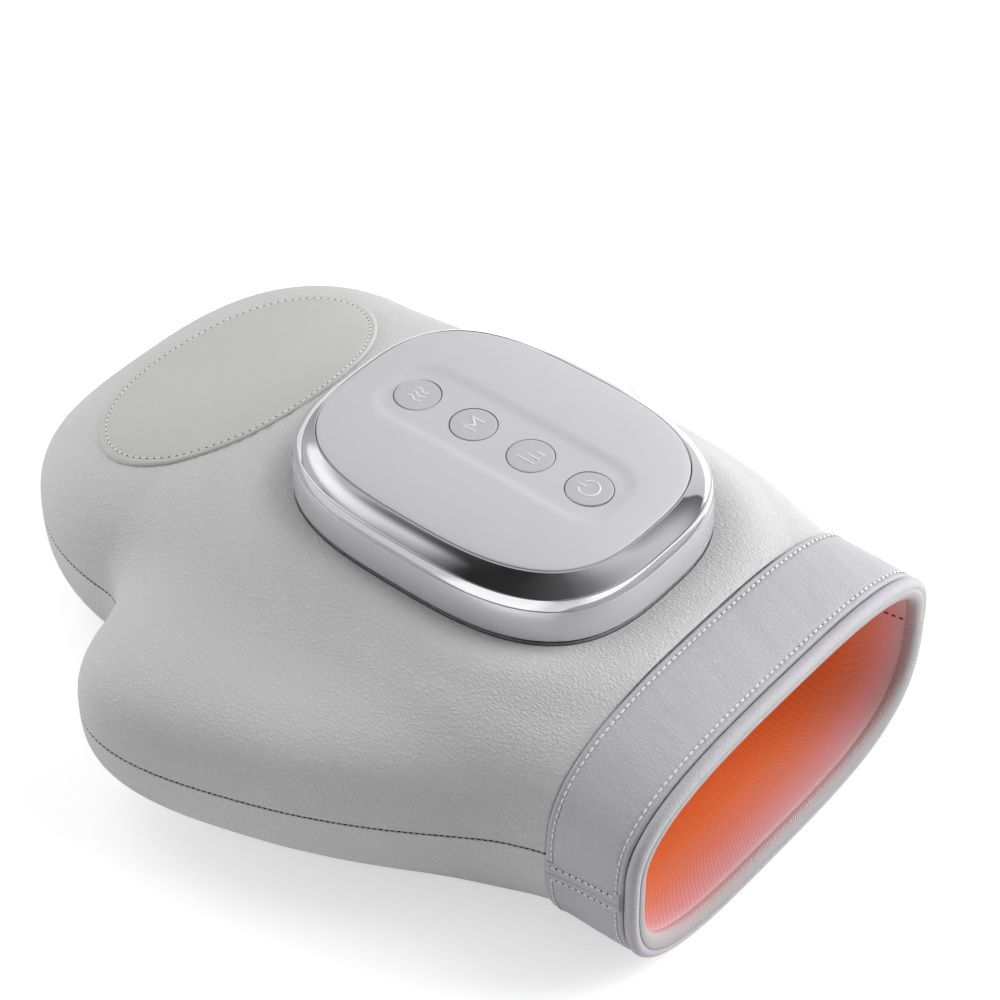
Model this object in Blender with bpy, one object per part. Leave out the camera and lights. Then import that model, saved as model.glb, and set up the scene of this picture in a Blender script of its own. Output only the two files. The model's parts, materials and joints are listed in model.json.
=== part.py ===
"""Hand massager: a padded mitt with air cushions and a heated lining, worked from a console on its back.

Lengths are in metres. The mitt lies on its underside, fingers towards -X, wrist opening towards +X,
thumb towards -Y. Every piece is built round the console's centre, and one empty carries them all to the
part's own origin, which is under the middle of the whole mitt.
"""
import math
from collections import namedtuple

import bmesh
import bpy
import numpy as np
from mathutils import Vector

# Clearances and walls
GAP = 0.0003                    # between pieces that touch
HALF_GAP = GAP / 2
OVERRUN = 0.002                 # how far a cutter passes the face it cuts
COVER_WALL = 0.003              # leather with its foam backing
LINING_WALL = 0.0012

# Mitt outline from above, as distances from the console's centre
FINGER_REACH = 0.1630
TIP_LENGTH = 0.0680             # the finger end rounds off over this length
KNUCKLE_STATION = 0.0100
HEEL_STATION = 0.0460
WRIST_STATION = 0.0744          # where the cuff band starts
BAND_LENGTH = 0.0270            # from there to the cuff's lip
FINGER_HALF_WIDTH = 0.0737
PALM_HALF_WIDTH = 0.0815
HEEL_HALF_WIDTH = 0.0787
WRIST_HALF_WIDTH = 0.0706
MOUTH_HALF_WIDTH = 0.0702
FINGER_OFFSET = 0.0019          # the finger end leans this far to the little finger's side
HEEL_OFFSET = -0.0017           # and the heel of the hand to the thumb's side

# Mitt heights: the waist seam above the floor, and the crown above the seam
FINGER_SEAM = 0.0364
PALM_SEAM = 0.0357
HEEL_SEAM = 0.0401
WRIST_SEAM = 0.0414
MOUTH_SEAM = 0.0460
FINGER_CROWN = 0.0395
PALM_CROWN = 0.0486
HEEL_CROWN = 0.0436
WRIST_CROWN = 0.0371
MOUTH_CROWN = 0.0285
WRIST_LIFT = 0.0016             # the underside rises this far to the cuff
MOUTH_LIFT = 0.0016
FLOOR_SINK = 0.0010             # the padding is pressed flat by this much where it rests

# Roundness of the sections and of the finger end, as superellipse powers
TOP_POWER = 2.95
BOTTOM_POWER = 3.29
TIP_PLAN_POWER = 2.35
TIP_SIDE_POWER = 1.79

# Thumb lobe
THUMB_X = -0.0175
THUMB_Y = -0.0634
THUMB_HALF_LENGTH = 0.0672
THUMB_HALF_WIDTH = 0.0454
THUMB_CROWN = 0.0281
THUMB_DEPTH = 0.0301
THUMB_ANGLE = math.radians(7.7)
THUMB_POWER = 3.09
THUMB_TAPER_SHARE = 0.26
THUMB_BLEND = 0.0110            # softness of the valley between thumb and palm
FIELD_CAP = 0.0500              # widest half size that scales the field

# Mesh density of the mitt
TIP_ROWS = 8
BODY_ROWS = 22
HALF_SECTION_STEPS = 16
SECTION_HALF_WIDTH = 0.0850     # the ellipse whose directions spread the points of a section
SECTION_HALF_HEIGHT = 0.0450
SEARCH_STEPS = 30

# Console outline and heights above the floor
CONSOLE_HALF_LENGTH = 0.0608
CONSOLE_HALF_WIDTH = 0.0476
CONSOLE_POWER = 2.95
CONSOLE_STEPS = 48
INNER_STEPS = 32                # for the tray and the board, which nothing shows
SEAT_SINK = 0.0031              # the console presses the leather down by this much
CONSOLE_PAD_SHARE = 1.04        # the leather is drawn flat as far as this share of the outline
CONSOLE_BLEND_SHARE = 0.34
GASKET_HEIGHT = 0.0007
GASKET_INSET = 0.0007
GASKET_WIDTH = 0.0034
BASE_HEIGHT = 0.0112
BASE_WALL = 0.0022
BASE_DRAFT = 0.0004
BASE_FLOOR = 0.0023
BASE_FLOOR_INSET = 0.0110
SHELF_WALL = 0.0016
SHELF_INSET = 0.0088
TRIM_INSET = 0.0004
TRIM_EDGE_ROUND = 0.0004
TRIM_BEAD_HEIGHT = 0.0034
TRIM_BEAD_WIDTH = 0.0008
TRIM_INNER_INSET = 0.0066
TRIM_SLOPE_BOW = 0.0004
PANEL_INSET = 0.0069
PANEL_DRAFT = 0.0002
PANEL_SKIRT = 0.0019
TRIM_RISE = 0.0090              # from the trim's foot to the panel's edge
PANEL_EDGE_ROUND = 0.0005
PANEL_WALL = 0.0020
PANEL_CROWN = 0.0026
PANEL_CROWN_POWER = 4.0
PANEL_RING_SHARES = (0.985, 0.92, 0.81, 0.66, 0.48, 0.3, 0.13)
PANEL_UNDER_SHARES = (0.66, 0.25)
CHANNEL_DEPTH = 0.0008          # shallow channel that the buttons stand in
CHANNEL_HALF_WIDTH = 0.0105
CHANNEL_HALF_LENGTH = 0.0430
CHANNEL_FLANK = 0.0045
PORT_BULGE = 0.0028             # the far wall swells round the charging port
PORT_X = -0.0020
PORT_HALF_WIDTH = 0.0110
PORT_FLANK = 0.0080

# Buttons and switches
BUTTON_COUNT = 4
BUTTON_PITCH = 0.0214
BUTTON_MIDDLE = 0.0
BUTTON_RADIUS = 0.0070
BUTTON_HOLE_GAP = 0.0004
BUTTON_PROUD = 0.0001
BUTTON_EDGE = 0.0003
BUTTON_TRAVEL = 0.0005
FLANGE_LAP = 0.0012
FLANGE_HEIGHT = 0.0010
STEM_RADIUS = 0.0020
STEM_CLEARANCE = 0.00005
SWITCH_HALF_SIZE = 0.0030
SWITCH_HEIGHT = 0.0015
PLUNGER_RADIUS = 0.0017
PLUNGER_HEIGHT = 0.0005
BOARD_INSET = 0.0105
BOARD_THICKNESS = 0.0016
BOARD_DEPTH = 0.0054            # from the panel's edge down to the board
BOSS_INSET = 0.0140
BOSS_RADIUS = 0.0026
BOARD_SCREW_RADIUS = 0.0010
BOARD_HEAD_RADIUS = 0.0021
BOARD_HEAD_HEIGHT = 0.0013
BOARD_SCREW_LENGTH = 0.0038

# Inner tray that hangs in the padding, and the screws that clamp the leather between it and the base
FLANGE_INSET = 0.0035
FLANGE_THICKNESS = 0.0017
TRAY_INSET = 0.0115
TRAY_WALL = 0.0018
TRAY_DRAFT = 0.0005
TRAY_RISE = 0.0013              # the wall's lip above the leather
TRAY_DEPTH = 0.0158             # from the leather's top down to the tray's foot
TRAY_FLOOR_WALL = 0.0018
CLAMP_INSET = 0.0075
CLAMP_SCREW_RADIUS = 0.0014
CLAMP_HEAD_RADIUS = 0.0027
CLAMP_HEAD_HEIGHT = 0.0016
CLAMP_COUNT = 4

# Battery, pump, valves and hoses in the tray
SIDE_ROOM = 0.0046              # for fingers and wires beside the cells
MANIFOLD_ROOM = 0.0155          # at the finger end of the tray
HOSE_ROOM = 0.0245              # at its wrist end
CELL_SHARE = 0.31               # of the half width that the cells and the motor share
MOTOR_SHARE = 0.33
CELL_CAP_RADIUS = 0.0040
CELL_CAP_HEIGHT = 0.0008
MOTOR_ROOM = 0.0009
MOTOR_LENGTH_SHARE = 0.473      # of the pump's length
MOTOR_BORE = 0.0016
CRANK_SHAFT_RADIUS = 0.0011
CRANK_RADIUS = 0.0055
CRANK_LENGTH = 0.0030
CRANK_PIN_RADIUS = 0.0012
CRANK_THROW = 0.0030
CRANK_PIN_LENGTH = 0.0028
CRANK_FIT = 0.0060              # how far the crank's shaft reaches into the motor
CRANK_SET = 0.0012              # from the motor's face to the crank
PUMP_HEAD_ROUND = 0.0020
PUMP_NECK = 0.0100              # room for the crank between the motor and the head
NIPPLE_RADIUS = 0.0018
NIPPLE_LENGTH = 0.0030
CRADLE_THICKNESS = 0.0009
MANIFOLD_LENGTH = 0.0090
MANIFOLD_WIDTH = 0.0260
MANIFOLD_HEIGHT = 0.0065
MANIFOLD_ROUND = 0.0012
VALVE_RADIUS = 0.0043
VALVE_HEIGHT = 0.0137
VALVE_PITCH = 0.0130
VALVE_BORE = 0.0019
VALVE_BORE_DEPTH = 0.0090
VALVE_PIN_RADIUS = 0.0015
VALVE_PIN_LENGTH = 0.0100
VALVE_TRAVEL = 0.0008
HOSE_RADIUS = 0.0018
HOSE_HOLE_GAP = 0.0005
HOSE_HOLE_SETBACK = 0.0080      # from the tray's end wall
HOSE_LEAD = 0.0030              # straight run out of the nipple
HOSE_BEND = 0.0081
HOSE_TURN = 0.0045
HOSE_RISE = 0.0090
HOSE_DROP = 0.0012
HOSE_STEPS = 18
USB_WIDTH = 0.0090
USB_HEIGHT = 0.0032
USB_DEPTH = 0.0073
USB_HOLE_GAP = 0.0004
CHARGE_BOARD_WIDTH = 0.0180
CHARGE_BOARD_DEPTH = 0.0090
CHARGE_BOARD_THICKNESS = 0.0012

# Cuff at the wrist opening
BAND_PROUD = 0.0012
BAND_WALL = 0.0030
BAND_ROWS = 4
MOUTH_STEPS = 48
LIP_PROUD = 0.0016
LIP_WALL = 0.0046
LIP_LENGTH = 0.0041
LIP_ROUND = 0.0013
FACING_INSET = 0.0034
FACING_WALL = 0.0009
FACING_LENGTH = 0.0060
STRIP_HALF_ANGLE = math.radians(3.0)
STRIP_ANGLE = math.radians(183.5)
STRIP_THICKNESS = 0.0008
STRIP_MARGIN = 0.0010
STRIP_STEPS = 3

# Finger patch, an oval appliqué on the back of the fingers
PATCH_MIDDLE_SHARE = 0.444      # of the way from the console to the fingertips
PATCH_Y = -0.0003
PATCH_HALF_WIDTH = 0.0508
PATCH_LENGTH_SHARE = 0.3030     # half its length, of the same way
PATCH_TURN = math.radians(-6.6)
PATCH_GAP = 0.0005
PATCH_THICKNESS = 0.0008
PATCH_STEPS = 28
PATCH_RING_SHARES = (1.0, 0.82, 0.62, 0.42, 0.2)

# Hand pocket: how far its lining lies inside the outside of the mitt
POCKET_SIDE = 0.0240
POCKET_TOP = 0.0266
POCKET_BOTTOM = 0.0180
POCKET_END = 0.0200
POCKET_THUMB_TOP = 0.0120
POCKET_THUMB_BOTTOM = 0.0140
POCKET_MOUTH_INSET = 0.0044
POCKET_FLARE_START = 0.0250
LINING_SETBACK = 0.0066         # from the band's front edge
LINING_ROWS = 15
LINING_TIP_ROWS = 5
LINING_STEPS = 12

# Air cushions, film and foam between the lining and the covers
CUSHION_GAP = 0.0007
CUSHION_EDGE = 0.0010
CUSHION_CROWN = 0.0034
FILM_THICKNESS = 0.0004
FINGER_CHANNELS = 4
FOAM_GAP = 0.0058
FINGER_CUSHION_LEAD = 0.0130    # from the pocket's end
CUSHION_SPACE = 0.0080          # between the finger and the palm cushions
PALM_CUSHION_FRONT = 0.0330
PALM_CUSHION_BACK = 0.0300
PALM_UNDER_FRONT = 0.0480
PALM_UNDER_BACK = 0.0360
WRIST_CUSHION_LAP = 0.0010      # how far it reaches under the tray
WRIST_UNDER_LENGTH = 0.0310
WRIST_CUSHION_SETBACK = 0.0026
THUMB_CUSHION_FRONT = 0.0300
THUMB_CUSHION_BACK = 0.0100
FOAM_LEAD = 0.0330
FOAM_BACK = 0.0290
FOAM_THICKNESS = 0.0076
SENSOR_LENGTH = 0.0040
SENSOR_WIDTH = 0.0030
SENSOR_HEIGHT = 0.0006
SENSOR_SPACE = 0.0040
SENSOR_GAP = 0.0009

# How far the cushions and the foam spread to each side of straight up or down, and round the thumb's side
FINGER_SPREAD = math.radians(52)
PALM_SPREAD = math.radians(50)
WRIST_SPREAD = math.radians(60)
FOAM_SPREAD = math.radians(42)
THUMB_NEAR = math.radians(9)
THUMB_FAR = math.radians(22)

# Heights and places that follow from the sizes above
FINGER_STATION = FINGER_REACH - TIP_LENGTH
MOUTH_STATION = WRIST_STATION + BAND_LENGTH
LINING_END = MOUTH_STATION - LINING_SETBACK
PATCH_X = -CONSOLE_HALF_LENGTH - PATCH_MIDDLE_SHARE * (FINGER_REACH - CONSOLE_HALF_LENGTH)
PATCH_HALF_LENGTH = PATCH_LENGTH_SHARE * (FINGER_REACH - CONSOLE_HALF_LENGTH)
CONSOLE_SEAT = PALM_SEAM + PALM_CROWN - SEAT_SINK
GASKET_LOW = CONSOLE_SEAT + GAP
BASE_LOW = GASKET_LOW + GASKET_HEIGHT + GAP
BASE_HIGH = BASE_LOW + BASE_HEIGHT
TRIM_LOW = BASE_HIGH + GAP
PANEL_EDGE = TRIM_LOW + TRIM_RISE
BOARD_TOP = PANEL_EDGE - BOARD_DEPTH
TRAY_FLOOR = CONSOLE_SEAT - TRAY_DEPTH
TRAY_HALF_LENGTH = CONSOLE_HALF_LENGTH - TRAY_INSET - TRAY_WALL
ROW_HALF_WIDTH = CONSOLE_HALF_WIDTH - TRAY_INSET - TRAY_WALL - SIDE_ROOM
CELL_RADIUS = CELL_SHARE * ROW_HALF_WIDTH
CELL_LENGTH = 2 * (TRAY_HALF_LENGTH - MANIFOLD_ROOM)
MOTOR_RADIUS = MOTOR_SHARE * ROW_HALF_WIDTH
MOTOR_Y = ROW_HALF_WIDTH - MOTOR_RADIUS - MOTOR_ROOM
MOTOR_X = MANIFOLD_ROOM - TRAY_HALF_LENGTH
PUMP_LENGTH = 2 * TRAY_HALF_LENGTH - MANIFOLD_ROOM - HOSE_ROOM
MOTOR_LENGTH = MOTOR_LENGTH_SHARE * PUMP_LENGTH
PUMP_HEAD_LENGTH = PUMP_LENGTH - MOTOR_LENGTH - PUMP_NECK
PUMP_HEAD_HALF_SIZE = MOTOR_RADIUS
HOSE_HOLE_X = TRAY_HALF_LENGTH - HOSE_HOLE_SETBACK

TURN = 2 * math.pi
FLAT_SHADE = math.radians(35)
HALF = 0.5
TIP_SPREAD_SHARE = 0.93
Inset = namedtuple("Inset", "side top bottom end thumb_side thumb_top thumb_bottom")
NO_INSET = Inset(0, 0, 0, 0, 0, 0, 0)


# Scene, materials and mesh helpers

def clear_scene():
    for item in list(bpy.data.objects):
        bpy.data.objects.remove(item)


def make_material(name, color, roughness, metallic=0.0):
    material = bpy.data.materials.new(name)
    material.use_nodes = True
    shader = material.node_tree.nodes["Principled BSDF"]
    shader.inputs["Base Color"].default_value = (*color, 1.0)
    shader.inputs["Roughness"].default_value = roughness
    shader.inputs["Metallic"].default_value = metallic
    material.diffuse_color = (*color, 1.0)
    return material


def finish(name, bm, material):
    """Turn a bmesh into a named object that hangs on the part's origin."""
    bmesh.ops.remove_doubles(bm, verts=bm.verts, dist=GAP / 30)
    bmesh.ops.recalc_face_normals(bm, faces=bm.faces)
    mesh = bpy.data.meshes.new(name)
    bm.to_mesh(mesh)
    bm.free()
    mesh.shade_smooth()
    mesh.set_sharp_from_angle(angle=FLAT_SHADE)
    mesh.materials.append(material)
    item = bpy.data.objects.new(name, mesh)
    bpy.context.scene.collection.objects.link(item)
    item.parent = bpy.data.objects.get("massager_origin")
    return item


def skin(bm, rings, close_sides=True, close_profile=False):
    """Join rings of points with quads, and return the rows of new vertices."""
    rows = [[bm.verts.new(point) for point in ring] for ring in rings]
    pairs = list(zip(rows, rows[1:]))
    if close_profile:
        pairs.append((rows[-1], rows[0]))
    for low, high in pairs:
        count = len(low)
        for i in range(count if close_sides else count - 1):
            j = (i + 1) % count
            bm.faces.new((low[i], low[j], high[j], high[i]))
    return rows


def ring_solid(name, rings, material, closed_profile=False):
    """A solid through closed rings: a hoop when the profile closes, otherwise capped at both ends."""
    bm = bmesh.new()
    rows = skin(bm, rings, close_profile=closed_profile)
    if not closed_profile:
        bm.faces.new(rows[0])
        bm.faces.new(rows[-1])
    return finish(name, bm, material)


def sheet_solid(name, low, high, material):
    """A closed solid between two grids of points that match row for row."""
    bm = bmesh.new()
    under = skin(bm, low, close_sides=False)
    over = skin(bm, high, close_sides=False)
    border = [(0, j) for j in range(len(low[0]))]
    border += [(i, len(low[0]) - 1) for i in range(1, len(low))]
    border += [(len(low) - 1, j) for j in reversed(range(len(low[0]) - 1))]
    border += [(i, 0) for i in reversed(range(1, len(low) - 1))]
    for (i, j), (k, m) in zip(border, border[1:] + border[:1]):
        bm.faces.new((under[i][j], under[k][m], over[k][m], over[i][j]))
    return finish(name, bm, material)


def turned(name, profile, material, centre, axis="Z", steps=20):
    """A round solid from (radius, height) pairs, from its foot to its head, along Z or X."""
    rings = []
    for radius, height in profile:
        ring = []
        for i in range(steps):
            angle = TURN * i / steps
            across, up = radius * math.cos(angle), radius * math.sin(angle)
            point = (across, up, height) if axis == "Z" else (height, across, up)
            ring.append(Vector(point))
        rings.append(ring)
    piece = ring_solid(name, rings, material)
    piece.location = centre
    return piece


def block(name, size, centre, material, round_edge=0.0):
    """A rectangular solid whose upright edges may be rounded."""
    bm = bmesh.new()
    bmesh.ops.create_cube(bm, size=1.0)
    bmesh.ops.scale(bm, vec=size, verts=bm.verts)
    if round_edge:
        upright = [e for e in bm.edges if abs(e.verts[0].co.z - e.verts[1].co.z) > size[2] / 2]
        bmesh.ops.bevel(bm, geom=upright, offset=round_edge, segments=3, profile=0.5,
                        affect="EDGES", material=-1)
    piece = finish(name, bm, material)
    piece.location = centre
    return piece


def as_cutter(item):
    item.hide_render = True
    item.display_type = "WIRE"
    return item


def add_boolean(item, other, operation):
    step = item.modifiers.new(other.name, "BOOLEAN")
    step.operation = operation
    step.solver = "EXACT"
    step.object = other


def cut(item, other):
    add_boolean(item, as_cutter(other), "DIFFERENCE")


def join(item, other):
    add_boolean(item, as_cutter(other), "UNION")


def smooth_step(value):
    value = np.clip(value, 0.0, 1.0)
    return value * value * (3 - 2 * value)


def through(x, stations, values):
    """A smooth curve through a few stations, level past its ends."""
    stations, values = np.array(stations, float), np.array(values, float)
    slopes = np.gradient(values, stations)
    x = np.clip(x, stations[0], stations[-1])
    k = np.clip(np.searchsorted(stations, x) - 1, 0, len(stations) - 2)
    span = stations[k + 1] - stations[k]
    t = (x - stations[k]) / span
    rise = (1 + 2 * t) * (1 - t) ** 2 * values[k] + t * t * (3 - 2 * t) * values[k + 1]
    bend = t * (1 - t) ** 2 * slopes[k] - t * t * (1 - t) * slopes[k + 1]
    return rise + span * bend


# The mitt's form: two rounded lobes, palm with fingers and thumb, that flow into each other

STATIONS = (-FINGER_STATION, -KNUCKLE_STATION, HEEL_STATION, WRIST_STATION, MOUTH_STATION)


def seam_height(x):
    return through(x, STATIONS, (FINGER_SEAM, PALM_SEAM, HEEL_SEAM, WRIST_SEAM, MOUTH_SEAM))


def middle_line(x):
    return through(x, STATIONS, (FINGER_OFFSET, 0, HEEL_OFFSET, 0, 0))


def lift_height(x):
    lift = through(x, STATIONS, (-FLOOR_SINK, -FLOOR_SINK, -FLOOR_SINK, WRIST_LIFT, MOUTH_LIFT))
    return np.where(x < 0, -FLOOR_SINK, lift)


def mitt_field(x, y, z, inset):
    """Below zero inside the mitt once its surface is drawn in by the insets."""
    seam = seam_height(x)
    above = z >= seam
    length = FINGER_REACH - FINGER_STATION - inset.end
    past = np.clip((-FINGER_STATION - x) / length, 0, 1)
    plan_share = np.maximum(1 - past ** TIP_PLAN_POWER, 0) ** (1 / TIP_PLAN_POWER)
    side_share = np.maximum(1 - past ** TIP_SIDE_POWER, 0) ** (1 / TIP_SIDE_POWER)
    half = through(x, STATIONS, (FINGER_HALF_WIDTH, PALM_HALF_WIDTH, HEEL_HALF_WIDTH, WRIST_HALF_WIDTH,
                                 MOUTH_HALF_WIDTH))
    crown = through(x, STATIONS, (FINGER_CROWN, PALM_CROWN, HEEL_CROWN, WRIST_CROWN, MOUTH_CROWN))
    half = np.maximum((half - inset.side) * plan_share, GAP / 100)
    crown = (crown - inset.top) * side_share
    depth = (seam - lift_height(x) - inset.bottom) * side_share
    high = np.maximum(np.where(above, crown, depth), GAP / 100)
    power = np.where(above, TOP_POWER, BOTTOM_POWER)
    across = np.abs(y - middle_line(x)) / half
    palm = (across ** power + (np.abs(z - seam) / high) ** power) ** (1 / power) - 1
    palm = palm * np.minimum(half, FIELD_CAP)

    along = math.cos(THUMB_ANGLE) * (x - THUMB_X) + math.sin(THUMB_ANGLE) * (y - THUMB_Y)
    aside = -math.sin(THUMB_ANGLE) * (x - THUMB_X) + math.cos(THUMB_ANGLE) * (y - THUMB_Y)
    swell = 1 - THUMB_TAPER_SHARE * along / THUMB_HALF_LENGTH
    width = THUMB_HALF_WIDTH - inset.thumb_side
    high = np.where(above, THUMB_CROWN - inset.thumb_top, THUMB_DEPTH - inset.thumb_bottom)
    thumb = (np.abs(along / (THUMB_HALF_LENGTH - inset.thumb_side)) ** THUMB_POWER
             + np.abs(aside / (width * swell)) ** THUMB_POWER
             + np.abs((z - seam) / high) ** THUMB_POWER) ** (1 / THUMB_POWER) - 1
    thumb = thumb * np.minimum(width, FIELD_CAP)

    mix = np.clip((palm - thumb) / (2 * THUMB_BLEND) + HALF, 0, 1)
    return palm * (1 - mix) + thumb * mix - THUMB_BLEND * mix * (1 - mix)


def section_angles(steps):
    """Directions round a half section, closer together where it turns its corners."""
    turn = np.linspace(0, math.pi, steps + 1)
    return np.arctan2(SECTION_HALF_HEIGHT * np.sin(turn), SECTION_HALF_WIDTH * np.cos(turn))


def surface(x, angle, inset):
    """Points of the drawn-in mitt, found along rays from the line through the seam's middle."""
    x, angle = np.broadcast_arrays(np.asarray(x, float), np.asarray(angle, float))
    middle, seam = middle_line(x), seam_height(x)
    low, high = np.zeros(x.shape), np.full(x.shape, 2 * PALM_HALF_WIDTH)
    for _ in range(SEARCH_STEPS):
        reach = (low + high) / 2
        inside = mitt_field(x, middle + reach * np.cos(angle), seam + reach * np.sin(angle), inset) < 0
        low, high = np.where(inside, reach, low), np.where(inside, high, reach)
    return np.stack([x, middle + low * np.cos(angle), seam + low * np.sin(angle)], axis=-1)


def height_at(x, y, inset=NO_INSET):
    """Height of the upper surface over a point of the plan."""
    x, y = np.broadcast_arrays(np.asarray(x, float), np.asarray(y, float))
    low, high = seam_height(x), np.full(x.shape, 2 * PALM_HALF_WIDTH)
    for _ in range(SEARCH_STEPS):
        z = (low + high) / 2
        inside = mitt_field(x, y, z, inset) < 0
        low, high = np.where(inside, z, low), np.where(inside, high, z)
    return low


def console_share(x, y):
    """1 on the console's outline, less inside it."""
    return ((np.abs(x) / CONSOLE_HALF_LENGTH) ** CONSOLE_POWER
            + (np.abs(y) / CONSOLE_HALF_WIDTH) ** CONSOLE_POWER) ** (1 / CONSOLE_POWER)


def settle(points):
    """Press the cover flat on the floor and draw it flat under the console."""
    x, y, z = points[..., 0], points[..., 1], points[..., 2]
    near = (CONSOLE_PAD_SHARE + CONSOLE_BLEND_SHARE - console_share(x, y)) / CONSOLE_BLEND_SHARE
    flat = smooth_step(near) * (z > CONSOLE_SEAT * HALF)
    z = z * (1 - flat) + CONSOLE_SEAT * flat
    return np.stack([x, y, np.maximum(z, 0)], axis=-1)


def mitt_rows(end_inset, last, tip_rows, body_rows):
    """Stations from the fingertip to the last one, closer together at the tip."""
    length = FINGER_REACH - FINGER_STATION - end_inset
    turn = (np.arange(1, tip_rows + 1) / tip_rows) * math.pi / 2
    tip = -FINGER_STATION - length * np.cos(turn * TIP_SPREAD_SHARE + math.pi / 2 * (1 - TIP_SPREAD_SHARE))
    return np.concatenate([tip, np.linspace(-FINGER_STATION, last, body_rows + 1)[1:]])


def inner_face(grid, side, wall):
    """The grid moved inward by the wall; its edges at the seam and at the wrist stay in their planes."""
    normal = side * np.cross(np.gradient(grid, axis=0), np.gradient(grid, axis=1))
    normal[:, [0, -1], 2] = 0
    normal[-1, :, 0] = 0
    return grid + wall * normal / np.linalg.norm(normal, axis=-1, keepdims=True)


def half_shell(name, rows, steps, side, inset_of, wall, material, tip_x, pressed=False):
    """Upper (side 1) or lower (side -1) half of a mitt-shaped skin, closed at the fingertips."""
    angles = side * section_angles(steps)
    outer = surface(rows[:, None], angles[None, :], inset_of(rows[:, None]))
    if pressed:
        outer = settle(outer)
    inner = inner_face(outer, side, wall)
    at = np.full(steps + 1, tip_x)
    tip = np.stack([at, middle_line(at), seam_height(at)], axis=-1)
    outer = np.concatenate([tip[None], outer])
    inner = np.concatenate([(tip + (wall, 0, 0))[None], inner])
    for grid in (outer, inner):
        grid[..., 2] += side * HALF_GAP
    return sheet_solid(name, vectors(inner), vectors(outer), material)


# Covers

def no_inset(x):
    return NO_INSET


def add_covers(leather, leather_low):
    rows = mitt_rows(0, WRIST_STATION, TIP_ROWS, BODY_ROWS)
    upper = half_shell("upper_cover", rows, HALF_SECTION_STEPS, 1, no_inset, COVER_WALL, leather,
                       -FINGER_REACH, pressed=True)
    half_shell("lower_cover", rows, HALF_SECTION_STEPS, -1, no_inset, COVER_WALL, leather_low,
               -FINGER_REACH, pressed=True)
    opening = (TRAY_INSET + BASE_FLOOR_INSET) / 2
    seat = CONSOLE_SEAT
    cut(upper, ring_solid("cover_opening", [console_ring(opening, seat - COVER_WALL - OVERRUN, False),
                                            console_ring(opening, seat + OVERRUN, False)], leather))
    for number, (x, y) in enumerate(clamp_places(), 1):
        hole = CLAMP_SCREW_RADIUS + GAP
        cut(upper, turned(f"cover_hole_{number}", [(hole, -COVER_WALL - OVERRUN), (hole, OVERRUN)],
                          leather, (x, y, seat), steps=8))


def add_patch(leather):
    angles = TURN * np.arange(PATCH_STEPS) / PATCH_STEPS

    def oval(share, lift):
        along = share * PATCH_HALF_LENGTH * np.cos(angles)
        across = share * PATCH_HALF_WIDTH * np.sin(angles)
        x = PATCH_X + along * math.cos(PATCH_TURN) - across * math.sin(PATCH_TURN)
        y = PATCH_Y + along * math.sin(PATCH_TURN) + across * math.cos(PATCH_TURN)
        points = settle(np.stack([x, y, height_at(x, y)], axis=-1))
        return [Vector(p) + Vector((0, 0, lift)) for p in points]

    under = [oval(share, PATCH_GAP) for share in reversed(PATCH_RING_SHARES)]
    over = [oval(share, PATCH_GAP + PATCH_THICKNESS) for share in PATCH_RING_SHARES]
    bm = bmesh.new()
    rows = skin(bm, under + over)
    for row, lift in ((rows[0], PATCH_GAP), (rows[-1], PATCH_GAP + PATCH_THICKNESS)):
        pole = bm.verts.new((PATCH_X, PATCH_Y, float(height_at(PATCH_X, PATCH_Y)) + lift))
        for a, b in zip(row, row[1:] + row[:1]):
            bm.faces.new((pole, a, b))
    finish("finger_patch", bm, leather)


# Cuff

def mouth_section(x, inset, steps=MOUTH_STEPS):
    """A closed ring round the wrist end of the mitt, drawn in by the inset."""
    turn = TURN * np.arange(steps) / steps
    angle = np.arctan2(SECTION_HALF_HEIGHT * np.sin(turn), SECTION_HALF_WIDTH * np.cos(turn))
    all_round = Inset(inset, inset, inset, 0, inset, inset, inset)
    points = surface(np.full(steps, float(x)), angle, all_round)
    return [Vector(p) for p in points]


def mouth_hoop(name, profile, material):
    """A hoop whose closed profile is a list of (inset, station) pairs."""
    return ring_solid(name, [mouth_section(x, inset) for inset, x in profile], material, True)


def add_cuff(band_leather, facing_cloth):
    start, end = WRIST_STATION + GAP, MOUTH_STATION
    stations = [start + (end - start) * i / (BAND_ROWS - 1) for i in range(BAND_ROWS)]
    outside = [(-BAND_PROUD, x) for x in stations]
    inside = [(BAND_WALL - BAND_PROUD, x) for x in reversed(stations)]
    mouth_hoop("cuff_band", outside + inside, band_leather)

    back, front = end + GAP, end + GAP + LIP_LENGTH
    out, inner = -LIP_PROUD, LIP_WALL - LIP_PROUD
    lip = [(out, back), (out, front - LIP_ROUND), (out + LIP_ROUND, front), (inner - LIP_ROUND, front),
           (inner, front - LIP_ROUND), (inner, back)]
    mouth_hoop("cuff_lip", lip, band_leather)

    edge = LIP_WALL - LIP_PROUD + GAP
    back = front - LIP_ROUND - FACING_LENGTH
    facing = [(edge, back), (edge, front - LIP_ROUND), (edge + FACING_WALL, front - LIP_ROUND),
              (edge + FACING_WALL, back)]
    mouth_hoop("mouth_facing", facing, facing_cloth)

    proud = Inset(*(-BAND_PROUD - GAP,) * 3, 0, *(-BAND_PROUD - GAP,) * 3)
    taller = Inset(*(value - STRIP_THICKNESS for value in proud[:3]), 0, *proud[4:])
    x = np.linspace(start + STRIP_MARGIN, end - STRIP_MARGIN, BAND_ROWS)[:, None]
    angle = STRIP_ANGLE + STRIP_HALF_ANGLE * np.linspace(-1, 1, STRIP_STEPS + 1)[None, :]
    sheet_solid("cuff_closing_strip", vectors(surface(x, angle, proud)), vectors(surface(x, angle, taller)),
                band_leather)


def vectors(grid):
    return [[Vector(p) for p in row] for row in grid]


# Hand pocket and what lies round it

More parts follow.
